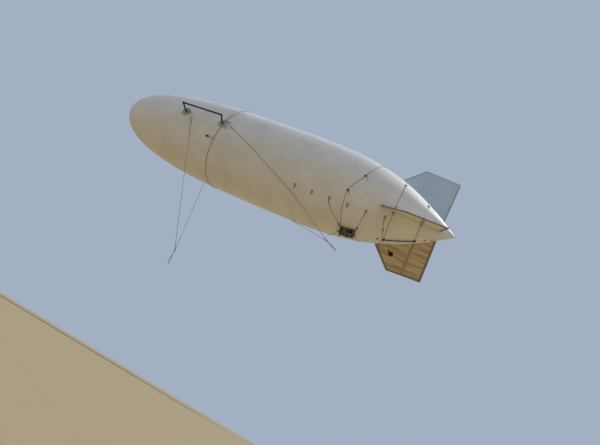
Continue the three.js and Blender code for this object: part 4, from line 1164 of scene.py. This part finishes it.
def add_girth():
    shape = Shape("rope")
    path = [on_hull(girth_station(a), a, GIRTH_LIFT) for a in steps(0, 360, 240)]
    rope(shape, path, *GIRTH_ROPE, closed=True)
    shape.build("girth_rope", "rope", "girth_cable")

    shape = Shape("grey_plastic", "steel", "webbing", "rope", "patch")
    station, angle = TENSIONER
    place = seat(station, angle)
    pad(shape, station, angle, oval(0.150, 0.100, 40, 3.0), 0.0024, 4)
    blocks(shape, place, (0, 0, 6, 96, 58, 8, 2, 1), *[(4, y, 19, 76, 4, 26, 1.5, 0) for y in (-23, 23)])
    turned_at(shape, place, (18, -29, 22), (0, 1, 0), DRUM, 24, 1)
    turned_at(shape, place, (18, -18, 22), (0, 1, 0), ((0, 12.5), (36, 12.5)), 24, 2)
    blocks(shape, place, (-20, 0, 28, 52, 40, 6, 2, 0))
    bolts(shape, place, [(x, y, 10) for x in (-38, 40) for y in (-20, 20)], (0, 0, 1), 4.2, 1)
    end_station = girth_station(angle)
    path = [on_hull(s, angle, GIRTH_LIFT) for s in steps(station + 0.06, end_station - 0.016, 12)]
    rope(shape, [at(place, 30, 0, 16), *path], *TENSIONER_ROPE, 3)
    point, _, along, across = hull_frame(end_station, angle, GIRTH_LIFT)
    torus(shape, point, along * 0.2 + across, 12.5, 3, 1, 28)
    turned(shape, point - along * 0.075, along, ((0, 6), (4, 9.5), (48, 9.5), (52, 6)), 18)
    shape.build("girth_ratchet", "black", "girth_tensioner")


add_girth()

# Bridles: name, patch, where the line lies on the envelope, and the knot and the swivel's end, as
# station and height
BRIDLES = (
    ("nose_bridle", (3.330, 103.0), ((3.394, 109.4), (3.415, 111.5)), (5.010, -4.230), (5.083, -4.636)),
    ("main_bridle", (4.750, 95.5), ((5.120, 101.3), (5.600, 109.2), (6.080, 117.2), (6.560, 126.0),
                                    (7.040, 135.1), (7.470, 143.9)), (9.060, -1.849), (9.422, -2.017)),
)
BRIDLE_PATCH, BRIDLE_STITCHES = 0.240, (0.111, 60)
RAY_ANGLE, RAY_LENGTH, RAY_WIDTH = 38, 0.098, 0.025
BRIDLE_ROPE = (7.42, 75)
LINE_HEIGHT = 0.0115
RING = 34
RING_WIRE = 9
SHANK_LENGTH = 0.0963
EYE_RADIUS = 13
EYE_FROM_END = 34
PLATE_HALF = 32
PLATE_THICKNESS = 16
SHANK = ((0, 9), (4, 14.5), (16, 15.5), (20, 12.5), (60, 12.5), (64, 15), (98, 15), (100, 13.8))
SHANK_NUT = ((0, 12.7), (0.8, 14.2), (9, 14.2), (9.8, 12.7))
SWIVEL = ((0, 16.5), (2, 19.5), (10, 20.8), (30, 20.8), (32, 19), (36, 19), (38, 20.8), (82, 20.8), (84, 19),
          (88, 19), (90, 20.8), (112, 20.8), (118, 18.5), (120, 17))


def add_bridle_side(name, side, sign, patch, wrap, knot, ring_normal):
    """A bridle's patch with its webbing rays and links, and its line to the junction ring."""
    station, angle = patch[0], sign * patch[1]
    point, normal, along, across = hull_frame(station, angle)
    laid = [(s, sign * a) for s, a in wrap]
    shape = Shape("tape", "pale_belt", "thread", "steel", "dark_steel")
    pad(shape, station, angle, oval(BRIDLE_PATCH, BRIDLE_PATCH, 52), PATCH_THICKNESS)
    round_stitches(shape, station, angle, *BRIDLE_STITCHES, 2)
    heading = on_hull(*laid[0], LINE_HEIGHT) - point
    heading = (heading - normal * heading.dot(normal)).normalized()
    side_way = normal.cross(heading)
    for fan in (-RAY_ANGLE, 0, RAY_ANGLE):
        ray = spoke(-heading, side_way, math.radians(fan))
        route = [(station + ray.dot(along) * u, angle - arc(ray.dot(across) * u, station))
                 for u in steps(0, RAY_LENGTH, 8)]
        ribbon(shape, route, RAY_WIDTH, 0.0020, 1, 0.0032 + 0.0004 * abs(fan) / RAY_ANGLE)
        stitching(shape, [on_hull(s, a, 0.0062) for s, a in route[1:]], normal, 2, *RAY_THREAD)
    lift = point + normal * LINE_HEIGHT
    torus(shape, lift + heading * 0.014, side_way, 10.5, 4.2, 1, 24)
    torus(shape, lift + heading * 0.034, normal + side_way * 0.12, 17, 3.4, 3, 32)
    torus(shape, lift + heading * 0.056, side_way, 9.5, 3, 4, 24, 8)
    shape.build("%s_patch_%s_webbing" % (name, side), "patch", "%s_patch_%s" % (name, side))

    line = Shape("pale_rope", "webbing")
    start = lift + heading * 0.064
    path = [on_hull(s, a, LINE_HEIGHT) for s, a in route_between(laid, 0.06)]
    path = [start, start.lerp(path[0], 0.5), *path]
    in_ring = path[-1] - knot
    in_ring = (in_ring - ring_normal * in_ring.dot(ring_normal)).normalized()
    finish = knot + in_ring * ((RING + RING_WIRE + 10) * MM)
    free = [path[-1].lerp(finish, u) for u in steps(0, 1, 40)[1:]]
    rope(line, path + free, *BRIDLE_ROPE)
    whipping(line, start, path[1], 12, 75, 9.8, 1)
    whipping(line, finish, free[-2], 45, 125, 9.8, 1)
    torus(line, knot + in_ring * (RING * MM), in_ring.cross(ring_normal), RING_WIRE + 7.5, 6.2, 0, 28)
    line.build("%s_line_%s_rope" % (name, side), "rope", "%s_line_%s" % (name, side))


def add_swivel(name, knot, end, ring_normal):
    """The junction ring with its shank, and the swivel that turns below it with its eye plate."""
    down = (end - knot).normalized()
    shape = Shape("steel", "dark_steel")
    torus(shape, knot, ring_normal, RING, RING_WIRE, 0, 72, 24)
    neck = knot + down * (RING * MM)
    turned(shape, neck - down * 0.004, down, SHANK, 36)
    turned(shape, neck + down * 0.030, down, SHANK_NUT, 6, 1)
    shape.build("%s_junction_ring" % name, "steel", "%s_junction" % name)

    top = neck + down * SHANK_LENGTH
    shape = Shape("steel", "dark_steel", "black")
    turned(shape, top, down, SWIVEL, 48)
    turned(shape, top + down * 0.0325, down, ((0, 19.2), (3, 19.2)), 48, 2)
    upright = basis(Y, down, ring_normal, end - down * (EYE_FROM_END * MM))
    head = (end - top).length / MM - 100 - EYE_FROM_END
    outline, hole = [], []
    for t in around(48):
        c, s = math.cos(t - math.pi / 4), math.sin(t - math.pi / 4)
        scale = min(PLATE_HALF / max(abs(c), 1e-6), (EYE_FROM_END if s > 0 else head) / max(abs(s), 1e-6))
        outline.append((c * scale, s * scale))
        hole.append((EYE_RADIUS * c, EYE_RADIUS * s))
    half, bevel = PLATE_THICKNESS / 2, PLATE_THICKNESS * 0.12
    loops = [[at(upright, x * wide, y * high, z) for x, y in ring] for ring, wide, high, z in (
        (outline, 0.97, 0.985, half), (outline, 1, 1, half - bevel), (outline, 1, 1, bevel - half),
        (outline, 0.97, 0.985, -half), (hole, 1.12, 1.12, -half), (hole, 1, 1, bevel - half),
        (hole, 1, 1, half - bevel), (hole, 1.12, 1.12, half))]
    shape.grid(loops, 0, True, True)
    for x in (-20, 20):
        for face in (1, -1):
            bolts(shape, upright, [(x, 12 - head, half * face)], (0, 0, face), 4.4, 1)
    shape.build("%s_swivel_body" % name, "steel", "%s_swivel" % name, body=name.replace("bridle", "swivel"))


def add_bridles():
    for name, patch, wrap, *ends in BRIDLES:
        knot, end = [Vector((station - BUOYANCY, 0, height)) for station, height in ends]
        ring_normal = Y.cross((end - knot).normalized())
        for side, sign in SIDES:
            add_bridle_side(name, side, sign, patch, wrap, knot, ring_normal)
        add_swivel(name, knot, end, ring_normal)


add_bridles()

# Payload case: its local X runs aft, its local Z points up into the envelope, its top is at Z 0.
# The gimbal pans about the case's Z and tilts about its Y, so the two joints give the case's place.
GIMBAL_X = 20
BALL_Z = -255.6
JOINTS = {joint["name"]: joint for joint in frame["joints"]}
PAYLOAD_OUT = -Vector(JOINTS["gimbal_pan"]["axis"])
PAYLOAD_ACROSS = -Vector(JOINTS["gimbal_tilt"]["axis"])
PAYLOAD_ALONG = PAYLOAD_ACROSS.cross(PAYLOAD_OUT)
PAYLOAD_POINT = (Vector(JOINTS["gimbal_tilt"]["pos_m"]) - PAYLOAD_ALONG * (GIMBAL_X * MM)
                 + PAYLOAD_OUT * (BALL_Z * MM))
PAYLOAD = basis(PAYLOAD_ALONG, -PAYLOAD_ACROSS, -PAYLOAD_OUT, PAYLOAD_POINT)
CASE_HALF_LENGTH, CASE_HALF_WIDTH, CASE_HEIGHT = 225, 100, 190
LINE_INSET = 42
STRAP_INSET = 15
# Grip of an end plate, as its distance from the plate and its place across
GRIP = ((-2, -60), (4.5, -56), (5.5, 0), (4.5, 56), (-2, 60))
GLAND = ((0, 11), (4, 11), (4.5, 8.5), (12, 8.5), (14, 6), (16, 4.5))
CABLE = ((142, 64, -204), (139, 56, -210), (110, 44, -206), (80, 32, -200), (52, 22, -200))


def add_case():
    shape = Shape("ply", "black", "steel", "dark_steel", "case_frame", "case_plate")
    blocks(shape, PAYLOAD, (0, 0, -95, 410, 176, 187, 2, 0))
    # Corner extrusions along the four long edges
    for side in (1, -1):
        blocks(shape, PAYLOAD, *[(0, side * 93, z, 408, 14, 15, 3, 4) for z in (-8, -183)])
    # End plates, black in front and brown behind, with a folded handle on each
    for end, look in ((-1, 1), (1, 4)):
        blocks(shape, PAYLOAD, (end * 203, 0, -101, 44, 212, 190, 5, look))
        face = end * CASE_HALF_LENGTH
        bolts(shape, PAYLOAD, [(face, y, z) for y in (-93, 93) for z in (-30, -180)], (end, 0, 0), 4.5, 2)
        tube(shape, curve_through([at(PAYLOAD, face + end * x, y, -112) for x, y in GRIP], 0.008), 4, 10, 3)
    # Side panels: thin bands of the frame between brown panels, screws along the edges, cooling slots
    for side in (1, -1):
        blocks(shape, PAYLOAD, *[(x, side * 89.5, -95, width, 9, 160, 1.5, look)
                                 for x, width, look in ((-118, 10, 4), (-45, 10, 4), (132, 46, 1))])
        blocks(shape, PAYLOAD, (-20, side * 88.5, -140, 354, 6, 8, 1.5, 4))
        bolts(shape, PAYLOAD, [(x, side * CASE_HALF_WIDTH, z) for x in (-168, -105, -20, 60, 135, 168)
                               for z in (-8, -183)], (0, side, 0), 2.8, 3)
        blocks(shape, PAYLOAD, *[(-160 + 10.5 * k, side * 88.2, -70, 4.5, 4, 50, 1.2, 1) for k in range(7)])
    # Two latches on each side
    for side in (1, -1):
        for x in (-70, 165):
            blocks(shape, PAYLOAD, (x, side * 100.8, -12, 30, 6, 22, 1.5, 2),
                   (x, side * 101.5, -30, 22, 5, 26, 1.5, 3))
    # Underside: hatch with its screws and ribs, the gimbal's plate, a cover with a cable gland
    blocks(shape, PAYLOAD, (-115, 0, -189.5, 120, 150, 6, 1.5, 4),
           (GIMBAL_X + 12, 0, -189.6, 140, 170, 5, 1.5, 5))
    spots = [(x, y, -192.5) for x in (-168, -115, -62) for y in (-67, 67)]
    bolts(shape, PAYLOAD, spots, (0, 0, -1), 3.2, 3)
    blocks(shape, PAYLOAD, *[(-157 + 14 * k, 0, -193.5, 4.5, 100, 6, 1, 3) for k in range(7)])
    blocks(shape, PAYLOAD, (140, 20, -189.5, 60, 120, 5, 1.5, 4))
    turned_at(shape, PAYLOAD, (142, 64, -CASE_HEIGHT), (0, 0, -1), GLAND, 20, 1)
    tube(shape, curve_through([at(PAYLOAD, *spot) for spot in CABLE], 0.004), 3.2, 10, 1)
    # Seals that fill the space between the case and the round envelope
    blocks(shape, PAYLOAD, *[(0, side * 60, 5, 390, 50, 16, 4, 1) for side in (1, -1)])
    shape.build("payload_case_box", "case", "payload_case")


CAMERA_RIM = ((0, 39.5), (2, 39.5), (3, 38), (3, 28.2), (12.5, 28.2), (14, 27.2), (14, 23.2), (10.5, 22.5),
              (6.5, 21.5))
CAMERA_LENS = ((6.6, 21.6), (8.2, 16), (9.2, 8.5), (9.6, 0))
CAMERA_RING = ((6, 28.4), (6.2, 29), (9.2, 29), (9.4, 28.4))


def add_side_camera():
    shape = Shape("black", "steel", "glass", "dark_steel")
    blocks(shape, PAYLOAD, (43, -91, -105, 130, 16, 112, 6, 0), (55, -98.5, -105, 90, 5, 90, 4, 0))
    bolts(shape, PAYLOAD, [(x, -97, z) for x in (9, 101) for z in (-151, -59)], (0, -1, 0), 3, 1)
    for profile, sides, look in ((CAMERA_RIM, 56, 0), (CAMERA_LENS, 48, 2), (CAMERA_RING, 56, 3)):
        turned_at(shape, PAYLOAD, (55, -101, -105), (0, -1, 0), profile, sides, look)
    shape.build("side_camera_housing", "black", "side_camera")


GIMBAL_BASE = ((0, 39.8), (4, 39.8), (4.8, 38.5), (4.8, 34.5), (16.5, 34.5), (17.8, 33.5), (17.8, 0))
GIMBAL_YOKE = ((0, 35.2), (1, 36), (8.8, 36), (10, 34.8), (10, 0))
GIMBAL_HUB = ((0, 10.5), (2.4, 10.5), (3.4, 9.2), (3.4, 0))
BASE_Z, YOKE_Z, ARM_TOP = -190.3, -208.6, -210.6
BASE_BOLT_CIRCLE = 37.2
ARM_Y, ARM_RADIUS = 41, 15
BALL_RADIUS = 31
# The ball's lens barrel, lens and small lens: distance ahead and below, sides, look, profile
BALL_FITTINGS = (
    (26, 0, 40, 0, ((0, 16.5), (6, 16.5), (12.5, 15.2), (13, 14.5), (13, 12.2), (10.5, 11.6))),
    (26, 0, 36, 1, ((10.6, 11.7), (11.8, 8), (12.4, 0))),
    (24.5, 18, 24, 1, ((0, 5), (4.2, 5), (4.6, 4.2), (4.6, 0))),
)


def add_gimbal():
    x = GIMBAL_X
    shape = Shape("black", "steel")
    turned_at(shape, PAYLOAD, (x, 0, BASE_Z), (0, 0, -1), GIMBAL_BASE, 48, 0)
    spots = [(x + u, v, BASE_Z - 4) for u, v in circle(BASE_BOLT_CIRCLE, 12)[1::2]]
    bolts(shape, PAYLOAD, spots, (0, 0, -1), 2, 1)
    shape.build("gimbal_base_plate", "black", "gimbal_base")

    shape = Shape("black", "steel")
    turned_at(shape, PAYLOAD, (x, 0, YOKE_Z), (0, 0, -1), GIMBAL_YOKE, 48, 0)
    for hand in (-1, 1):
        rows = []
        for y, inset in ((-4, 0.8), (-3.4, 0), (3.4, 0), (4, 0.8)):
            r = ARM_RADIUS - inset
            ring = [(x + r * math.cos(t), BALL_Z - r * math.sin(t)) for t in steps(0, math.pi, 24)]
            ring += [(x - r, ARM_TOP), (x + r, ARM_TOP)]
            rows.append([at(PAYLOAD, px, hand * ARM_Y + y, pz) for px, pz in ring])
        shape.solid(rows)
        turned_at(shape, PAYLOAD, (x, hand * (ARM_Y + 3.8), BALL_Z), (0, hand, 0), GIMBAL_HUB, 32, 1)
        blocks(shape, PAYLOAD, (x, hand * (ARM_Y - 1), ARM_TOP - 4, 29, 10, 10, 2, 0))
    shape.build("gimbal_yoke_arms", "black", "gimbal_yoke", body="gimbal_yoke")

    shape = Shape("black", "glass", "dark_steel")
    profile = [(-BALL_RADIUS * math.cos(math.pi * k / 40), (BALL_RADIUS - (0.8 if k in (13, 27) else 0))
                * math.sin(math.pi * k / 40)) for k in range(1, 40)]
    profile = [(-BALL_RADIUS, 0), *profile, (BALL_RADIUS, 0)]
    turned_at(shape, PAYLOAD, (x, 0, BALL_Z), (0, 1, 0), profile, 56, 0)
    turned_at(shape, PAYLOAD, (x, -36.5, BALL_Z), (0, 1, 0), ((0, 4.8), (73, 4.8)), 20, 2)
    for ahead, below, sides, look, profile in BALL_FITTINGS:
        turned_at(shape, PAYLOAD, (x - ahead, 0, BALL_Z - below), (-1, 0, 0), profile, sides, look)
    shape.build("gimbal_ball_camera", "black", "gimbal_ball", body="gimbal_ball")


add_case()
add_side_camera()
add_gimbal()

# Lines between the case and the finger patches, strap over the hull, toggle lines
CASE_LINE_DEPTH = 26
PAYLOAD_ROPE, STRAP_ROPE, STRAP_TAIL_ROPE, TOGGLE_ROPE = (6.2, 62), (6.4, 70), (5.2, 50), (5.4, 55)
TURNBUCKLE = ((0, 4), (2, 8.5), (20, 9), (24, 6.8), (28, 13.2), (34, 14.2), (116, 14.2), (122, 13.2),
              (126, 6.8), (130, 9), (148, 8.5), (150, 4))
TURNBUCKLE_HALF, TURNBUCKLE_PIN, TURNBUCKLE_BACK = 0.075, 0.064, 0.115


def place_of(point, near=180.0):
    """Station and angle of a point, the angle within half a turn of another one."""
    angle = math.degrees(math.atan2(-point.y, point.z))
    return point.x + BUOYANCY, near + (angle - near + 180) % 360 - 180


def case_end(towards, sign, inset):
    """The place on the case's end face where a line is held."""
    return at(PAYLOAD, towards * CASE_HALF_LENGTH, -sign * (CASE_HALF_WIDTH - inset), -CASE_LINE_DEPTH)


def draw_to(points, index, place, reach):
    """Move one end of a path to a place, and what lies within reach of it less and less."""
    anchor = points[index].copy()
    for i, point in enumerate(points):
        share = 1 - (point - anchor).length / reach
        if share > 0:
            points[i] = point + (place - anchor) * share ** 1.5


def laid_path(start, finish, end, lift, reach):
    """Close points on the envelope from a place to below a point; near it the path rises to its end."""
    points = [on_hull(s, a, lift) for s, a in route_between([start, place_of(finish, start[1])], 0.025)]
    draw_to(points, -1, end, reach)
    return points


def finger_ring(number, sign):
    """The lower side of a finger patch's ring, where a line starts."""
    station = finger_station(number)
    return station, sign * (FINGER_ANGLE + arc(0.088, station))


def turnbuckle(shape, path, look_body, look_metal):
    """A closed turnbuckle on a line, its middle at a distance back from the path's end."""
    back = 0.0
    i = len(path) - 1
    while i > 0 and back < TURNBUCKLE_BACK:
        back += (path[i] - path[i - 1]).length
        i -= 1
    direction = heading_at(path, i, 2)
    turned(shape, path[i] - direction * TURNBUCKLE_HALF, direction, TURNBUCKLE, 24, look_body)
    pin = direction.orthogonal().normalized()
    for shift in (-TURNBUCKLE_PIN, TURNBUCKLE_PIN):
        turned(shape, path[i] + direction * shift - pin * 0.013, pin, ((0, 4), (26, 4)), 12, look_metal)


def add_payload_lines():
    for side, sign in SIDES:
        for end, towards, finger in (("front", -1, 3), ("rear", 1, 5)):
            finish = case_end(towards, sign, LINE_INSET)
            outwards = PAYLOAD_ALONG * towards
            path = laid_path(finger_ring(finger, sign), finish, finish + outwards * 0.004, 0.0105, 0.30)
            shape = Shape("pale_rope", "black", "steel", "webbing")
            rope(shape, path, *PAYLOAD_ROPE)
            turnbuckle(shape, path, 1, 2)
            whipping(shape, path[0], path[1], 4, 60, 8.8, 3)
            torus(shape, finish + outwards * 0.009, PAYLOAD_ACROSS, 9.5, 3, 2, 28)
            turned(shape, finish - outwards * 0.001, outwards, ((0, 8.5), (2.6, 8.5), (3, 7.2)), 6, 2)
            name = "payload_line_%s_%s" % (side, end)
            shape.build("%s_rope" % name, "rope", name)


# The strap lies on the envelope from one side of the case over the top to the other
STRAP_ROUTE = ((9.160, 148.0), (9.118, 118.0), (9.290, 102.0), (9.408, 90.6), (9.545, 72.0), (9.623, 58.0),
               (9.740, 29.0))
STRAP_TOP = (9.780, 0.0)
STRAP_KNOT = ((0, 4.5), (4, 8.8), (12, 9.2), (18, 6.2), (20, 0))
# Degrees for each metre of station while the strap's route is smoothed
STRAP_SCALE = 60.0


def add_strap():
    shape = Shape("rope", "grey_plastic", "steel", "webbing", "patch")
    port, starboard = [place_of(case_end(-1, sign, STRAP_INSET)) for sign in (1, -1)]
    places = [port, *STRAP_ROUTE, STRAP_TOP, *[(s, -a) for s, a in reversed(STRAP_ROUTE)],
              (starboard[0], starboard[1] - 360)]
    smoothed = curve_through([Vector((s, a / STRAP_SCALE, 0)) for s, a in places], 0.03)
    path = [on_hull(p.x, p.y * STRAP_SCALE, 0.0105) for p in smoothed]
    for index, sign in ((0, 1), (-1, -1)):
        draw_to(path, index, case_end(-1, sign, STRAP_INSET) - PAYLOAD_ALONG * 0.004, 0.22)
    rope(shape, path, *STRAP_ROPE)
    for sign in (1, -1):
        torus(shape, case_end(-1, sign, STRAP_INSET) - PAYLOAD_ALONG * 0.009, PAYLOAD_ACROSS, 9.5, 3, 2, 28)
        for station, angle in (STRAP_ROUTE[1], STRAP_ROUTE[3]):
            add_strap_clamp(shape, station, sign * angle, sign)
    shape.build("hull_strap_rope", "rope", "hull_strap")


def add_strap_clamp(shape, station, angle, sign):
    """A clamp on its pad. The free end of the strap hangs down the hull from it, with a stop knot."""
    pad(shape, station, angle, oval(0.120, 0.085, 36, 3.0), 0.0022, 4)
    place = seat(station, angle, 0.0025)
    blocks(shape, place, (0, 0, 6, 72, 38, 9, 3, 1), (4, 0, 18, 46, 34, 14, 4, 1))
    turned_at(shape, place, (-22, -19, 14), (0, 1, 0), ((0, 4.2), (38, 4.2)), 14, 2)
    bolts(shape, place, [(-28, 0, 10.8), (30, 0, 10.8)], (0, 0, 1), 3.6, 2)
    points = [on_hull(station + 0.020 + 0.105 * u, angle + sign * (1.0 + 3.6 * u + 0.8 * u * u),
                      0.0078 + 0.004 * math.sin(2.6 * u)) for u in steps(0, 1, 11)]
    rope(shape, points, *STRAP_TAIL_ROPE)
    end_way = (points[-1] - points[-2]).normalized()
    turned(shape, points[-1] - end_way * 0.004, end_way, STRAP_KNOT, 12, 3)


TOGGLE = ((0, 6), (3, 13), (12, 15.8), (72, 15.8), (81, 13), (84, 6))
TOGGLE_HALF = 0.042
TOGGLE_SHARE = 0.40
TOGGLE_END = 10.534


def add_toggle_lines():
    for side, sign in SIDES:
        point, _, along, across = hull_frame(TOGGLE_END, 180, 0.017)
        finish = point + across * (sign * 0.017) - along * 0.002
        path = laid_path(finger_ring(FINGERS, sign), finish, finish, 0.0095, 0.15)
        shape = Shape("rope", "webbing", "black")
        rope(shape, path, *TOGGLE_ROPE)
        k = int(len(path) * TOGGLE_SHARE)
        direction = (path[k + 1] - path[k]).normalized()
        middle = path[k] + hull_frame(*place_of(path[k]))[1] * 0.006
        turned(shape, middle - direction * TOGGLE_HALF, direction, TOGGLE, 20, 2)
        whipping(shape, path[0], path[1], 4, 50, 7.8, 1)
        whipping(shape, path[-1], path[-2], 8, 55, 7.8, 1)
        shape.build("toggle_line_%s_rope" % side, "rope", "toggle_line_%s" % side)


add_payload_lines()
add_strap()
add_toggle_lines()

# Camera at the photograph's place: its axes in the part's frame
CAMERA_PLACE = (5.26, -11.117, -7.602)
CAMERA_RIGHT = (0.88943, 0.02768, 0.45624)
CAMERA_DOWN = (0.37501, 0.52648, -0.76301)
CAMERA_FORWARD = (-0.26132, 0.84974, 0.45788)
SENSOR_MM = 36.0
LENS_MM = 24.87
FAR_END = 1200.0
FLOOR_HEIGHT = -7.66
FLOOR_REACH = 400.0
FLOOR_SIDES = 128
SKY_COLOUR = (0.365, 0.435, 0.545, 1.0)
SUN_COLOUR = (1.0, 0.98, 0.94)
SUN_DIRECTION = (0.40, 0.28, 0.87)
SUN_STRENGTH = 2.6
SUN_ANGLE = 20.0


def put(name, data):
    """A new object in the scene."""
    made = bpy.data.objects.new(name, data)
    bpy.context.scene.collection.objects.link(made)
    return made


def add_camera():
    data = bpy.data.cameras.new("photo_camera")
    data.sensor_width = SENSOR_MM
    data.lens = LENS_MM
    data.clip_end = FAR_END
    camera = put("photo_camera", data)
    camera.matrix_world = basis(Vector(CAMERA_RIGHT), -Vector(CAMERA_DOWN), -Vector(CAMERA_FORWARD),
                                Vector(CAMERA_PLACE))
    bpy.context.scene.camera = camera


def add_floor():
    mesh = bpy.data.meshes.new("studio_floor")
    rim = [(x, y, FLOOR_HEIGHT) for x, y in circle(FLOOR_REACH, FLOOR_SIDES)]
    mesh.from_pydata(rim, [], [list(range(FLOOR_SIDES))])
    mesh.materials.append(M["floor"])
    put("studio_floor", mesh)


def add_lights():
    world = bpy.data.worlds.new("studio")
    world.use_nodes = True
    back = world.node_tree.nodes["Background"]
    back.inputs["Color"].default_value = SKY_COLOUR
    back.inputs["Strength"].default_value = 1.0
    bpy.context.scene.world = world
    bpy.context.scene.view_settings.view_transform = "Standard"
    data = bpy.data.lights.new("sun", "SUN")
    data.energy = SUN_STRENGTH
    data.color = SUN_COLOUR
    data.angle = math.radians(SUN_ANGLE)
    put("sun", data).rotation_euler = (-Vector(SUN_DIRECTION)).to_track_quat("-Z", "Y").to_euler()


add_camera()
add_floor()
add_lights()
